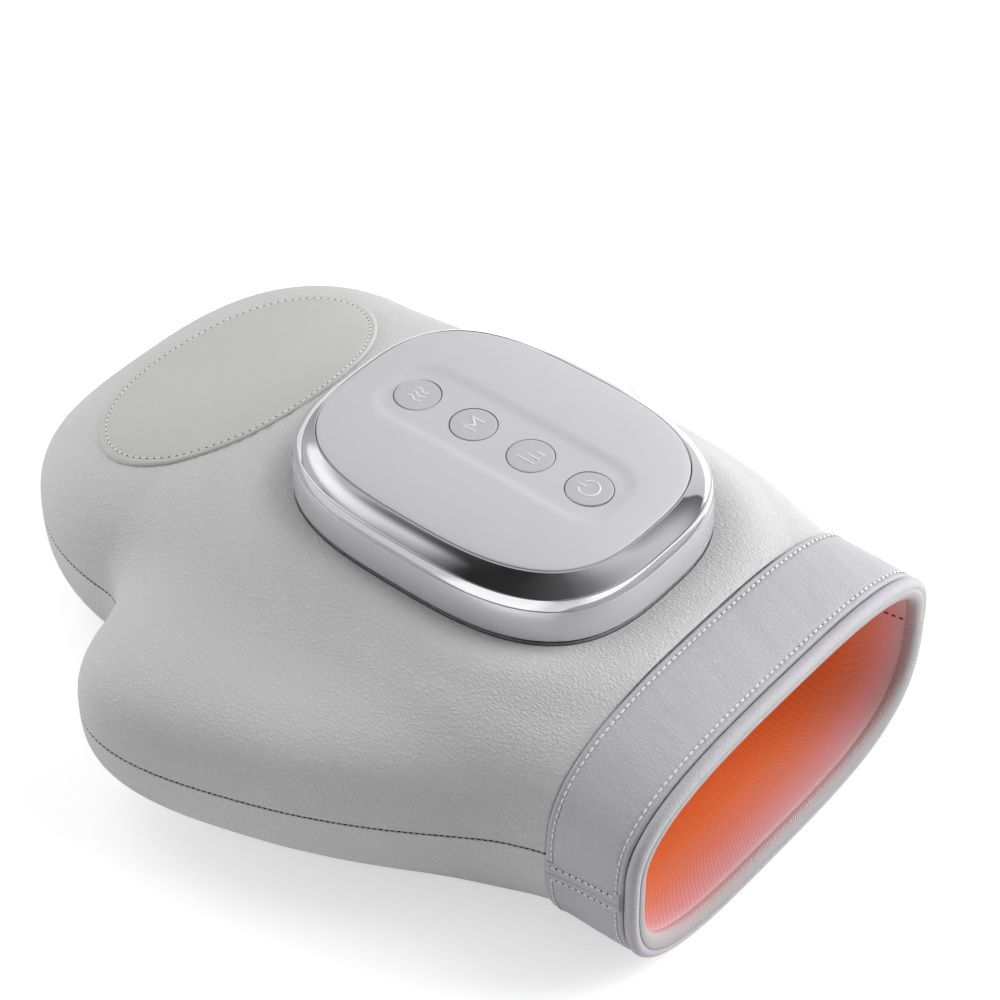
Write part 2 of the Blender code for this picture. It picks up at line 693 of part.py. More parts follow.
def pocket_inset(x, outward=0.0):
    """How far the lining lies inside the mitt at a station, less a distance outward from the lining."""
    deep = smooth_step((LINING_END - x) / (LINING_END - POCKET_FLARE_START))

    def depth(inner):
        return POCKET_MOUTH_INSET + (inner - POCKET_MOUTH_INSET) * deep - outward

    return Inset(depth(POCKET_SIDE), depth(POCKET_TOP), depth(POCKET_BOTTOM), POCKET_END - np.min(outward),
                 depth(POCKET_SIDE), depth(POCKET_THUMB_TOP), depth(POCKET_THUMB_BOTTOM))


def add_lining(cloth):
    rows = mitt_rows(POCKET_END, LINING_END, LINING_TIP_ROWS, LINING_ROWS)
    tip = -FINGER_REACH + POCKET_END
    half_shell("lining_upper", rows, LINING_STEPS, 1, pocket_inset, LINING_WALL, cloth, tip)
    half_shell("lining_lower", rows, LINING_STEPS, -1, pocket_inset, LINING_WALL, cloth, tip)


def layer(name, first, last, start, stop, near, thickness, material, rows=8, steps=8, channels=1):
    """A sheet, pad or cushion that lies on the lining from station first to last.

    start and stop are directions round the section. A cushion swells between its welded edges,
    once for each of its channels.
    """
    x = np.linspace(first, last, rows + 1)[:, None]
    angle = np.linspace(start, stop, steps * channels + 1)[None, :]
    along = np.sin(np.linspace(0, math.pi, rows + 1))[:, None]
    across = np.abs(np.sin(np.linspace(0, math.pi * channels, steps * channels + 1)))[None, :]
    edge, swell = thickness
    bulge = edge + swell * np.sqrt(along * across)
    low = surface(x, angle, pocket_inset(x, near))
    high = surface(x, angle, pocket_inset(x, near + bulge))
    return sheet_solid(name, vectors(low), vectors(high), material)


def cushion_places():
    """Each air cushion's name, first and last station, first and last direction, and channels."""
    up, down, thumb = math.pi / 2, 3 * math.pi / 2, math.pi
    tip = POCKET_END - FINGER_REACH
    fingers = (tip + FINGER_CUSHION_LEAD, -PALM_UNDER_FRONT - CUSHION_SPACE)
    wrist = WRIST_STATION - WRIST_CUSHION_SETBACK
    tray_end = CONSOLE_HALF_LENGTH - TRAY_INSET
    thumb_run = (THUMB_X - THUMB_CUSHION_FRONT, THUMB_X + THUMB_CUSHION_BACK)
    return (
        ("finger_cushion_upper", *fingers, *spread(up, FINGER_SPREAD), FINGER_CHANNELS),
        ("finger_cushion_lower", *fingers, *spread(down, FINGER_SPREAD), FINGER_CHANNELS),
        ("palm_cushion_upper", -PALM_CUSHION_FRONT, PALM_CUSHION_BACK, *spread(up, PALM_SPREAD), 1),
        ("palm_cushion_lower", -PALM_UNDER_FRONT, PALM_UNDER_BACK, *spread(down, PALM_SPREAD), 1),
        ("wrist_cushion_upper", tray_end - WRIST_CUSHION_LAP, wrist, *spread(up, WRIST_SPREAD), 1),
        ("wrist_cushion_lower", wrist - WRIST_UNDER_LENGTH, wrist, *spread(down, WRIST_SPREAD), 1),
        ("thumb_cushion_upper", *thumb_run, thumb - THUMB_FAR, thumb - THUMB_NEAR, 1),
        ("thumb_cushion_lower", *thumb_run, thumb + THUMB_NEAR, thumb + THUMB_FAR, 1),
    )


def spread(middle, half):
    return middle - half, middle + half


def add_cushions(film, foam, heater, sensor):
    swell = (CUSHION_EDGE, CUSHION_CROWN)
    for name, first, last, start, stop, channels in cushion_places():
        over_film = name == "palm_cushion_upper"
        near = CUSHION_GAP + (CUSHION_GAP + FILM_THICKNESS if over_film else 0)
        layer(name, first, last, start, stop, near, swell, film,
              rows=6, steps=3 if channels > 1 else 8, channels=channels)
    layer("heating_film", -PALM_CUSHION_FRONT, PALM_CUSHION_BACK, *spread(math.pi / 2, PALM_SPREAD),
          CUSHION_GAP, (FILM_THICKNESS, 0), heater, rows=5)
    foam_first = POCKET_END - FINGER_REACH + FOAM_LEAD
    layer("base_foam", foam_first, FOAM_BACK, *spread(3 * math.pi / 2, FOAM_SPREAD),
          FOAM_GAP, (FOAM_THICKNESS, 0), foam, steps=6)
    x = -PALM_CUSHION_FRONT - SENSOR_SPACE - SENSOR_LENGTH / 2
    top = height_at(x, 0.0, pocket_inset(np.array(x)))
    block("temperature_sensor", (SENSOR_LENGTH, SENSOR_WIDTH, SENSOR_HEIGHT),
          (x, 0, float(top) + SENSOR_GAP + SENSOR_HEIGHT / 2), sensor)


# Console shell

def port_swell(x):
    """Share of the swelling round the charging port, at a place along the far wall."""
    return smooth_step((PORT_HALF_WIDTH + PORT_FLANK - np.abs(x - PORT_X)) / PORT_FLANK)


def console_ring(inset, z, swollen=True, steps=CONSOLE_STEPS):
    """A ring of the console's outline, drawn in by the inset, swollen at the port if asked."""
    ring = []
    for i in range(steps):
        angle = TURN * (i + HALF) / steps
        c, s = math.cos(angle), math.sin(angle)
        x = (CONSOLE_HALF_LENGTH - inset) * math.copysign(abs(c) ** (2 / CONSOLE_POWER), c)
        y = (CONSOLE_HALF_WIDTH - inset) * math.copysign(abs(s) ** (2 / CONSOLE_POWER), s)
        if swollen and y > 0:
            y += PORT_BULGE * float(port_swell(x))
        ring.append(Vector((x, y, z)))
    return ring


def console_hoop(name, profile, material):
    """A hoop round the console from (inset, height, swollen) entries."""
    return ring_solid(name, [console_ring(*entry) for entry in profile], material, True)


def add_console_shell(rubber, gloss, chrome, panel_plastic):
    low, high = GASKET_LOW, GASKET_LOW + GASKET_HEIGHT
    out, inner = GASKET_INSET, GASKET_INSET + GASKET_WIDTH
    console_hoop("base_gasket", [(out, low, True), (out, high, True), (inner, high, False),
                                 (inner, low, False)], rubber)

    floor, shelf = BASE_LOW + BASE_FLOOR, BASE_HIGH - SHELF_WALL
    base = console_hoop("base_housing", [
        (0, BASE_LOW, True), (BASE_DRAFT, BASE_HIGH, True), (SHELF_INSET, BASE_HIGH, False),
        (SHELF_INSET, shelf, False), (BASE_WALL + BASE_DRAFT, shelf, False), (BASE_WALL, floor, False),
        (BASE_FLOOR_INSET, floor, False), (BASE_FLOOR_INSET, BASE_LOW, False)], gloss)
    for number, (x, y) in enumerate(clamp_places(), 1):
        hole = CLAMP_SCREW_RADIUS + GAP
        cut(base, turned(f"base_hole_{number}", [(hole, -OVERRUN), (hole, BASE_FLOOR + OVERRUN)], gloss,
                         (x, y, BASE_LOW), steps=8))
    port = block("port_opening", (USB_WIDTH + 2 * USB_HOLE_GAP, 2 * PORT_BULGE + 4 * BASE_WALL,
                                  USB_HEIGHT + 2 * USB_HOLE_GAP),
                 (PORT_X, CONSOLE_HALF_WIDTH, usb_middle()), gloss)
    cut(base, port)

    top, edge = TRIM_LOW + TRIM_BEAD_HEIGHT, PANEL_EDGE - GAP
    mid_inset, mid_height = (TRIM_INSET + TRIM_BEAD_WIDTH + TRIM_INNER_INSET) / 2, (top + edge) / 2
    console_hoop("chrome_trim", [
        (TRIM_INSET + TRIM_EDGE_ROUND, TRIM_LOW, True), (TRIM_INSET, TRIM_LOW + TRIM_EDGE_ROUND, True),
        (TRIM_INSET, top - TRIM_EDGE_ROUND, True), (TRIM_INSET + TRIM_BEAD_WIDTH, top, True),
        (mid_inset - TRIM_SLOPE_BOW, mid_height + TRIM_SLOPE_BOW, False),
        (TRIM_INNER_INSET - TRIM_EDGE_ROUND, edge, False), (TRIM_INNER_INSET, edge - TRIM_EDGE_ROUND, False),
        (TRIM_INNER_INSET, TRIM_LOW, False)], chrome)
    add_panel(panel_plastic)


def panel_height(x, y):
    """Height of the panel's upper face: a low crown with the button channel sunk in it."""
    share = ((abs(x) / (CONSOLE_HALF_LENGTH - PANEL_INSET)) ** CONSOLE_POWER
             + (abs(y) / (CONSOLE_HALF_WIDTH - PANEL_INSET)) ** CONSOLE_POWER) ** (1 / CONSOLE_POWER)
    crown = PANEL_CROWN * (1 - min(share, 1) ** PANEL_CROWN_POWER)
    past_side = (abs(y) - CHANNEL_HALF_WIDTH) / CHANNEL_FLANK
    past_end = (abs(x - BUTTON_MIDDLE) - CHANNEL_HALF_LENGTH) / CHANNEL_FLANK
    sunk = float(smooth_step(1 - max(past_side, 0)) * smooth_step(1 - max(past_end, 0)))
    return PANEL_EDGE + crown - CHANNEL_DEPTH * sunk


def panel_under(x, y):
    """Height of the panel's lower face, which follows the crown but not the channel."""
    share = ((abs(x) / (CONSOLE_HALF_LENGTH - PANEL_INSET)) ** CONSOLE_POWER
             + (abs(y) / (CONSOLE_HALF_WIDTH - PANEL_INSET)) ** CONSOLE_POWER) ** (1 / CONSOLE_POWER)
    return PANEL_EDGE - PANEL_WALL + PANEL_CROWN * (1 - min(share, 1) ** PANEL_CROWN_POWER)


def panel_rings(shares, height):
    rings = []
    for share in shares:
        flat = console_ring(PANEL_INSET, 0, False)
        rings.append([Vector((p.x * share, p.y * share, height(p.x * share, p.y * share))) for p in flat])
    return rings


def add_panel(panel_plastic):
    outer = PANEL_INSET
    rings = panel_rings(reversed(PANEL_UNDER_SHARES), panel_under)
    skirt = outer + PANEL_SKIRT
    rings += [console_ring(skirt, PANEL_EDGE - PANEL_WALL, False), console_ring(skirt, TRIM_LOW, False),
              console_ring(outer + PANEL_DRAFT, TRIM_LOW, False),
              console_ring(outer, PANEL_EDGE - PANEL_EDGE_ROUND, False)]
    rings += panel_rings(PANEL_RING_SHARES, panel_height)
    panel = ring_solid("top_panel", rings, panel_plastic)
    for number, x in enumerate(button_places(), 1):
        hole = BUTTON_RADIUS + BUTTON_HOLE_GAP
        cut(panel, turned(f"button_hole_{number}", [(hole, -PANEL_WALL - OVERRUN), (hole, OVERRUN)],
                          panel_plastic, (x, 0, panel_height(x, 0)), steps=24))
    for number, (x, y) in enumerate(boss_places(), 1):
        top = panel_under(x, y) + PANEL_WALL / 2
        foot = BOARD_TOP + GAP
        join(panel, turned(f"boss_{number}", [(BOSS_RADIUS, foot), (BOSS_RADIUS, top)], panel_plastic,
                           (x, y, 0), steps=10))
        hole = BOARD_SCREW_RADIUS + GAP
        cut(panel, turned(f"boss_hole_{number}", [(hole, foot - OVERRUN), (hole, top - PANEL_WALL)],
                          panel_plastic, (x, y, 0), steps=8))


def button_places():
    first = BUTTON_MIDDLE - BUTTON_PITCH * (BUTTON_COUNT - 1) / 2
    return [first + BUTTON_PITCH * i for i in range(BUTTON_COUNT)]


def boss_places():
    ring = console_ring(BOSS_INSET, 0, False, 4)
    return [(point.x, point.y) for point in ring]


def clamp_places():
    ring = console_ring(CLAMP_INSET, 0, False, CLAMP_COUNT)
    return [(point.x, point.y) for point in ring]


BUTTON_NAMES = ("heat_button", "mode_button", "pressure_button", "power_button")


def add_buttons(button_plastic, switch_plastic):
    switch_top = BOARD_TOP + GAP + SWITCH_HEIGHT + PLUNGER_HEIGHT
    for name, x in zip(BUTTON_NAMES, button_places()):
        top = panel_height(x, 0) + BUTTON_PROUD
        flange = panel_under(abs(x) + BUTTON_RADIUS + FLANGE_LAP, 0) - GAP
        profile = [(STEM_RADIUS, switch_top + BUTTON_TRAVEL + STEM_CLEARANCE),
                   (STEM_RADIUS, flange - FLANGE_HEIGHT),
                   (BUTTON_RADIUS + FLANGE_LAP, flange - FLANGE_HEIGHT), (BUTTON_RADIUS + FLANGE_LAP, flange),
                   (BUTTON_RADIUS, flange), (BUTTON_RADIUS, top - BUTTON_EDGE),
                   (BUTTON_RADIUS - BUTTON_EDGE, top)]
        turned(name, [(r, h - top) for r, h in profile], button_plastic, (x, 0, top), steps=20)
        turned(name.replace("button", "switch"), [
            (SWITCH_HALF_SIZE, BOARD_TOP + GAP), (SWITCH_HALF_SIZE, BOARD_TOP + GAP + SWITCH_HEIGHT),
            (PLUNGER_RADIUS, BOARD_TOP + GAP + SWITCH_HEIGHT), (PLUNGER_RADIUS, switch_top)],
            switch_plastic, (x, 0, 0), steps=12)


def add_board(board_green, steel):
    low = BOARD_TOP - BOARD_THICKNESS
    outline = [console_ring(BOARD_INSET, z, False, INNER_STEPS) for z in (low, BOARD_TOP)]
    board = ring_solid("control_board", outline, board_green)
    for number, (x, y) in enumerate(boss_places(), 1):
        hole = BOARD_SCREW_RADIUS + GAP
        cut(board, turned(f"board_hole_{number}", [(hole, low - OVERRUN), (hole, BOARD_TOP + OVERRUN)],
                          board_green, (x, y, 0), steps=8))
        head = low - GAP
        turned(f"board_screw_{number}", [
            (BOARD_HEAD_RADIUS, head - BOARD_HEAD_HEIGHT), (BOARD_HEAD_RADIUS, head),
            (BOARD_SCREW_RADIUS, head), (BOARD_SCREW_RADIUS, head + BOARD_SCREW_LENGTH)],
            steel, (x, y, 0), steps=8)


# Inner tray and its screws

def add_tray(tray_plastic, steel):
    flange_high = CONSOLE_SEAT - COVER_WALL - GAP
    flange_low = flange_high - FLANGE_THICKNESS
    lip = CONSOLE_SEAT + TRAY_RISE
    inner = TRAY_INSET + TRAY_WALL
    profile = [(inner + TRAY_DRAFT, TRAY_FLOOR + TRAY_FLOOR_WALL), (inner, lip), (TRAY_INSET, lip),
               (TRAY_INSET, flange_high), (FLANGE_INSET, flange_high), (FLANGE_INSET, flange_low),
               (TRAY_INSET, flange_low), (TRAY_INSET + TRAY_DRAFT, TRAY_FLOOR)]
    rings = [console_ring(inset, z, False, INNER_STEPS) for inset, z in profile]
    tray = ring_solid("inner_tray", rings, tray_plastic)
    for number, (x, y) in enumerate(clamp_places(), 1):
        hole = CLAMP_SCREW_RADIUS + GAP
        cut(tray, turned(f"tray_hole_{number}", [(hole, flange_low - OVERRUN), (hole, flange_high + OVERRUN)],
                         tray_plastic, (x, y, 0), steps=8))
        head = flange_low - GAP
        turned(f"clamp_screw_{number}", [
            (CLAMP_HEAD_RADIUS, head - CLAMP_HEAD_HEIGHT), (CLAMP_HEAD_RADIUS, head),
            (CLAMP_SCREW_RADIUS, head), (CLAMP_SCREW_RADIUS, BASE_LOW + BASE_FLOOR)],
            steel, (x, y, 0), steps=8)
    for number, (x, y) in enumerate(hose_holes(), 1):
        hole = HOSE_RADIUS + HOSE_HOLE_GAP
        cut(tray, turned(f"hose_hole_{number}", [(hole, -OVERRUN), (hole, TRAY_FLOOR_WALL + OVERRUN)],
                         tray_plastic, (x, y, TRAY_FLOOR), steps=12))


def floor_top():
    return TRAY_FLOOR + TRAY_FLOOR_WALL + GAP


def hose_holes():
    return [(-HOSE_HOLE_X, 0.0), (HOSE_HOLE_X, 0.0)]


def add_battery(wrap):
    first = CELL_RADIUS - ROW_HALF_WIDTH
    for number, y in enumerate((first, first + 2 * CELL_RADIUS + GAP), 1):
        turned(f"battery_cell_{number}", [
            (CELL_RADIUS, -CELL_LENGTH / 2), (CELL_RADIUS, CELL_LENGTH / 2),
            (CELL_CAP_RADIUS, CELL_LENGTH / 2), (CELL_CAP_RADIUS, CELL_LENGTH / 2 + CELL_CAP_HEIGHT)],
            wrap, (0, y, floor_top() + CELL_RADIUS), axis="X", steps=16)


def add_pump(motor_steel, plastic, brass):
    low = floor_top() + CRADLE_THICKNESS + GAP
    axis_z = low + MOTOR_RADIUS
    front = MOTOR_X + MOTOR_LENGTH
    motor = turned("pump_motor", [(MOTOR_RADIUS, 0), (MOTOR_RADIUS, MOTOR_LENGTH)], motor_steel,
                   (MOTOR_X, MOTOR_Y, axis_z), axis="X", steps=20)
    cut(motor, turned("motor_bore", [(MOTOR_BORE, -CRANK_FIT - GAP), (MOTOR_BORE, OVERRUN)], motor_steel,
                      (front, MOTOR_Y, axis_z), axis="X", steps=12))
    head_x = front + PUMP_NECK
    head = block("pump_head", (PUMP_HEAD_LENGTH, 2 * PUMP_HEAD_HALF_SIZE, 2 * PUMP_HEAD_HALF_SIZE),
                 (head_x + PUMP_HEAD_LENGTH / 2, MOTOR_Y, axis_z), plastic, PUMP_HEAD_ROUND)
    join(head, turned("head_nipple", [(NIPPLE_RADIUS, -OVERRUN), (NIPPLE_RADIUS, NIPPLE_LENGTH)], plastic,
                      (head_x + PUMP_HEAD_LENGTH, MOTOR_Y, axis_z), axis="X", steps=10))
    crank = turned("pump_crank", [(CRANK_SHAFT_RADIUS, -CRANK_FIT), (CRANK_SHAFT_RADIUS, CRANK_SET),
                                  (CRANK_RADIUS, CRANK_SET), (CRANK_RADIUS, CRANK_SET + CRANK_LENGTH)],
                   brass, (front, MOTOR_Y, axis_z), axis="X", steps=16)
    join(crank, turned("crank_pin", [
        (CRANK_PIN_RADIUS, CRANK_SET), (CRANK_PIN_RADIUS, CRANK_SET + CRANK_LENGTH + CRANK_PIN_LENGTH)],
        brass, (front, MOTOR_Y, axis_z + CRANK_THROW), axis="X", steps=10))
    block("pump_cradle", (PUMP_LENGTH, 2 * PUMP_HEAD_HALF_SIZE, CRADLE_THICKNESS),
          (MOTOR_X + PUMP_LENGTH / 2, MOTOR_Y, floor_top() + CRADLE_THICKNESS / 2), plastic)


def add_valves(plastic, coil_wrap, steel):
    low = floor_top()
    block("air_manifold", (MANIFOLD_LENGTH, MANIFOLD_WIDTH, MANIFOLD_HEIGHT),
          (-HOSE_HOLE_X, 0, low + MANIFOLD_HEIGHT / 2), plastic, MANIFOLD_ROUND)
    foot = low + MANIFOLD_HEIGHT + GAP
    for number, y in enumerate((-VALVE_PITCH / 2, VALVE_PITCH / 2), 1):
        turned(f"valve_coil_{number}", [
            (VALVE_BORE, VALVE_HEIGHT - VALVE_BORE_DEPTH), (VALVE_BORE, VALVE_HEIGHT),
            (VALVE_RADIUS, VALVE_HEIGHT), (VALVE_RADIUS, 0)], coil_wrap, (-HOSE_HOLE_X, y, foot), steps=14)
        pin_low = foot + VALVE_HEIGHT - VALVE_BORE_DEPTH + VALVE_TRAVEL + GAP
        turned(f"valve_plunger_{number}", [(VALVE_PIN_RADIUS, 0), (VALVE_PIN_RADIUS, VALVE_PIN_LENGTH)],
               steel, (-HOSE_HOLE_X, y, pin_low), steps=10)


def usb_middle():
    board = BASE_LOW + BASE_FLOOR + GAP + CHARGE_BOARD_THICKNESS
    return board + GAP + USB_HEIGHT / 2


def add_charging(board_green, steel):
    face = CONSOLE_HALF_WIDTH - BASE_WALL - BASE_DRAFT - GAP
    board_z = BASE_LOW + BASE_FLOOR + GAP + CHARGE_BOARD_THICKNESS / 2
    block("charge_board", (CHARGE_BOARD_WIDTH, CHARGE_BOARD_DEPTH, CHARGE_BOARD_THICKNESS),
          (PORT_X, face - GAP - CHARGE_BOARD_DEPTH / 2, board_z), board_green)
    socket = block("charging_socket", (USB_WIDTH, USB_DEPTH, USB_HEIGHT),
                   (PORT_X, face - USB_DEPTH / 2, usb_middle()), steel)
    wall = GAP * 2
    cut(socket, block("socket_mouth", (USB_WIDTH - 2 * wall, USB_DEPTH, USB_HEIGHT - 2 * wall),
                      (PORT_X, face + wall * 2, usb_middle()), steel))


# Hoses, each a smooth tube through a few places

def hose(name, places, material):
    curve = bpy.data.curves.new(name, "CURVE")
    curve.dimensions = "3D"
    curve.bevel_depth = HOSE_RADIUS
    curve.bevel_resolution = 2
    curve.use_fill_caps = True
    spline = curve.splines.new("POLY")
    points = curve_points([Vector(p) for p in places], HOSE_STEPS)
    spline.points.add(len(points) - 1)
    for slot, point in zip(spline.points, points):
        slot.co = (*point, 1)
    curve.materials.append(material)
    item = bpy.data.objects.new(name, curve)
    bpy.context.scene.collection.objects.link(item)
    item.parent = bpy.data.objects.get("massager_origin")
    return item


def curve_points(places, steps):
    """A smooth curve through the places, by repeated halving of a Catmull-Rom span."""
    spans = len(places) - 1
    points = []
    for i in range(steps + 1):
        position = i / steps * spans
        k = min(int(position), spans - 1)
        t = position - k
        a, b = places[k], places[k + 1]
        before = places[k - 1] if k else a * 2 - b
        after = places[k + 2] if k + 2 <= spans else b * 2 - a
        points.append((b * t + a * (1 - t)) + (t * (1 - t) / 2) *
                      ((1 - t) * (a * 2 - before - b) + t * (b * 2 - a - after)))
    return points


def add_hoses(tube):
    head_end = MOTOR_X + PUMP_LENGTH + NIPPLE_LENGTH + GAP
    start = Vector((head_end, MOTOR_Y, floor_top() + CRADLE_THICKNESS + GAP + MOTOR_RADIUS))
    foot = Vector((HOSE_HOLE_X, 0, TRAY_FLOOR))
    hose("pump_hose", [start, start + Vector((HOSE_LEAD / 2, 0, 0)), start + Vector((HOSE_LEAD, 0, 0)),
                       start + Vector((HOSE_BEND, -HOSE_TURN, -HOSE_TURN)),
                       foot + Vector((0, HOSE_LEAD, HOSE_RISE)), foot + Vector((0, 0, HOSE_RISE / 2)), foot,
                       foot - Vector((0, 0, HOSE_DROP))], tube)


def set_origin():
    """Carry everything from the console's centre to the middle of the mitt's footprint."""
    rows = mitt_rows(0, WRIST_STATION, TIP_ROWS, BODY_ROWS)
    upper = surface(rows[:, None], section_angles(HALF_SECTION_STEPS)[None, :], NO_INSET)
    lower = surface(rows[:, None], -section_angles(HALF_SECTION_STEPS)[None, :], NO_INSET)
    sides = np.concatenate([upper[..., 1].ravel(), lower[..., 1].ravel()])
    front = MOUTH_STATION + GAP + LIP_LENGTH
    origin = bpy.data.objects.get("massager_origin")
    origin.location = (-(front - FINGER_REACH) / 2, -(sides.min() + sides.max()) / 2, 0)
    return origin.location


def build():
    clear_scene()
    origin = bpy.data.objects.new("massager_origin", None)
    bpy.context.scene.collection.objects.link(origin)
    shift = set_origin()

    leather = make_material("warm grey leather", (0.56, 0.56, 0.55), 0.55)
    leather_low = make_material("lower leather", (0.53, 0.53, 0.53), 0.55)
    patch_leather = make_material("patch leather", (0.47, 0.47, 0.45), 0.6)
    band_leather = make_material("cuff leather", (0.47, 0.48, 0.49), 0.55)
    facing = make_material("facing knit", (0.38, 0.38, 0.39), 0.85)
    cloth = make_material("lining cloth", (0.62, 0.22, 0.07), 0.9)
    film = make_material("cushion film", (0.80, 0.82, 0.86), 0.35)
    foam = make_material("foam", (0.72, 0.70, 0.62), 0.95)
    heater = make_material("heating film", (0.45, 0.20, 0.08), 0.5)
    gloss = make_material("gloss grey plastic", (0.42, 0.42, 0.44), 0.18)
    rubber = make_material("dark rubber", (0.05, 0.05, 0.05), 0.8)
    chrome = make_material("chrome", (0.80, 0.80, 0.82), 0.08, 1.0)
    panel_plastic = make_material("panel plastic", (0.62, 0.62, 0.65), 0.35)
    button_plastic = make_material("button plastic", (0.60, 0.60, 0.63), 0.4)
    switch_plastic = make_material("switch plastic", (0.06, 0.06, 0.06), 0.5)
    board_green = make_material("board green", (0.03, 0.22, 0.10), 0.5)
    tray_plastic = make_material("tray plastic", (0.75, 0.75, 0.74), 0.5)
    steel = make_material("steel", (0.60, 0.60, 0.62), 0.3, 1.0)
    brass = make_material("brass", (0.75, 0.58, 0.28), 0.3, 1.0)
    wrap = make_material("cell wrap", (0.05, 0.20, 0.45), 0.4)
    coil_wrap = make_material("coil wrap", (0.45, 0.10, 0.06), 0.5)
    tube = make_material("silicone tube", (0.85, 0.85, 0.83), 0.4)

    add_covers(leather, leather_low)
    add_patch(patch_leather)
    add_cuff(band_leather, facing)
    add_lining(cloth)
    add_cushions(film, foam, heater, switch_plastic)
    add_console_shell(rubber, gloss, chrome, panel_plastic)
    add_buttons(button_plastic, switch_plastic)
    add_board(board_green, steel)
    add_tray(tray_plastic, steel)
    add_battery(wrap)
    add_pump(steel, tray_plastic, brass)
    add_valves(tray_plastic, coil_wrap, steel)
    add_charging(board_green, steel)
    add_hoses(tube)
    print("origin moved by", tuple(round(value, 6) for value in shift))


build()
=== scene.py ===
# %% [markdown]
# Hand massager
#
# A padded leather mitt takes the hand through a stiff cuff. A console with four push buttons sits on its
# back, and the cloth pocket has a painted glow where its heating film is warm. The solids of the mechanism
# come from the frame. This script dresses them: soft covers, seams, stitches, glossy and satin plastic,
# chrome and cloth.
# Everything is in metres. The mitt lies on its underside, fingers towards -X, cuff towards +X, thumb
# towards -Y.

# %% Load the frame
import json
import math

import bmesh
import bpy
import numpy as np
from mathutils import Matrix, Vector, noise


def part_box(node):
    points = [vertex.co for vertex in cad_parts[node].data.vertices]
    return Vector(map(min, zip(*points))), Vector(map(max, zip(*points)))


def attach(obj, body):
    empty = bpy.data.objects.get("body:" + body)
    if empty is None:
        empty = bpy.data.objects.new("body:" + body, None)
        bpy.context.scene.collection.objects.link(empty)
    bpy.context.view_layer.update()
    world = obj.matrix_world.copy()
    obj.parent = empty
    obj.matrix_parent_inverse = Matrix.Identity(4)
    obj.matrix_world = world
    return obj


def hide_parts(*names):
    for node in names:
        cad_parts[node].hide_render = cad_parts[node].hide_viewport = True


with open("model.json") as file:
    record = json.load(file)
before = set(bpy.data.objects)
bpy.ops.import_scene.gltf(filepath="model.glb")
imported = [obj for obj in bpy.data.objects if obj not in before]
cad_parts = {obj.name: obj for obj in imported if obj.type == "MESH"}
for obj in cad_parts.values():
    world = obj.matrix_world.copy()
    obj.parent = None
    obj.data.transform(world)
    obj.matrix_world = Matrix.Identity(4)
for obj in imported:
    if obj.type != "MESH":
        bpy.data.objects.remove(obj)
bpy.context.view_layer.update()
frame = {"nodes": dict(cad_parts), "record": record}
nodes = frame["nodes"]

# %% [markdown]
# The shapes below are worked out round the console's centre, as a pattern cutter would mark the mitt from
# the middle of its back. The control board lies exactly in that middle, so its box gives the shift from the
# pattern's centre to the frame.

# %% Find the pattern's centre
board_low, board_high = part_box("control_board")
SHIFT = Vector(((board_low[0] + board_high[0]) / 2, (board_low[1] + board_high[1]) / 2, 0))
MM = 0.001
TURN = 2 * math.pi
UP = Vector((0, 0, 1))
scene = bpy.context.scene
print("pattern centre at", tuple(round(value, 5) for value in SHIFT))

# %% [markdown]
# Camera first. The view is from the cuff's side, above the thumb, with a long lens, so the mitt keeps its
# proportions. The lamps are big and soft. The floor takes a faint shadow and looks white to the camera.

# %% Camera
CAMERA_PLACE = SHIFT + Vector((0.3999, -0.4828, 0.6608))
CAMERA_TURN = (math.radians(47.25), math.radians(0.07), math.radians(39.627))
CAMERA_LENS = 104.67            # millimetres, on a sensor 36 wide

camera_data = bpy.data.cameras.new("camera")
camera_data.lens = CAMERA_LENS
camera_data.sensor_width = 36
camera = bpy.data.objects.new("camera", camera_data)
camera.location = CAMERA_PLACE
camera.rotation_euler = CAMERA_TURN
scene.collection.objects.link(camera)
scene.camera = camera
scene.view_settings.view_transform = "Standard"

# %% [markdown]
# A shader is a tree of nodes. These helpers make a node and feed its inputs in one call, so that each effect
# below reads as a short recipe.

# %% Node helpers


def new_group(name, inputs, outputs):
    """A shader node group, the sockets that its recipe can read and those that it has to feed."""
    group = bpy.data.node_groups.new(name, "ShaderNodeTree")
    for label, value in inputs.items():
        socket = group.interface.new_socket(label, in_out="INPUT", socket_type="NodeSocketFloat")
        socket.default_value = value
    for label in outputs:
        group.interface.new_socket(label, in_out="OUTPUT", socket_type="NodeSocketFloat")
    return group, group.nodes.new("NodeGroupInput").outputs, group.nodes.new("NodeGroupOutput").inputs


def node(tree, kind, inputs=None, **settings):
    """A node with its settings and its inputs, each a plain value or a socket to join."""
    item = tree.nodes.new(kind)
    for key, value in settings.items():
        setattr(item, key, value)
    for key, value in (inputs or {}).items():
        if isinstance(value, bpy.types.NodeSocket):
            tree.links.new(value, item.inputs[key])
        else:
            item.inputs[key].default_value = value
    return item


def maths(tree, operation, first, second=None):
    """A Math node fed by sockets or plain numbers, and its output."""
    given = {0: first} if second is None else {0: first, 1: second}
    return node(tree, "ShaderNodeMath", given, operation=operation).outputs[0]


def swing(tree, value, middle, size):
    """How far a value is from a middle, times a size."""
    return maths(tree, "MULTIPLY", maths(tree, "SUBTRACT", value, middle), size)


def own_place(tree):
    """Where a point is on the piece itself, in metres."""
    return node(tree, "ShaderNodeTexCoord").outputs["Object"]


def cloud(tree, place, rate, detail):
    """Soft noise with about rate clouds in a metre."""
    return node(tree, "ShaderNodeTexNoise", {"Vector": place, "Scale": rate, "Detail": detail})


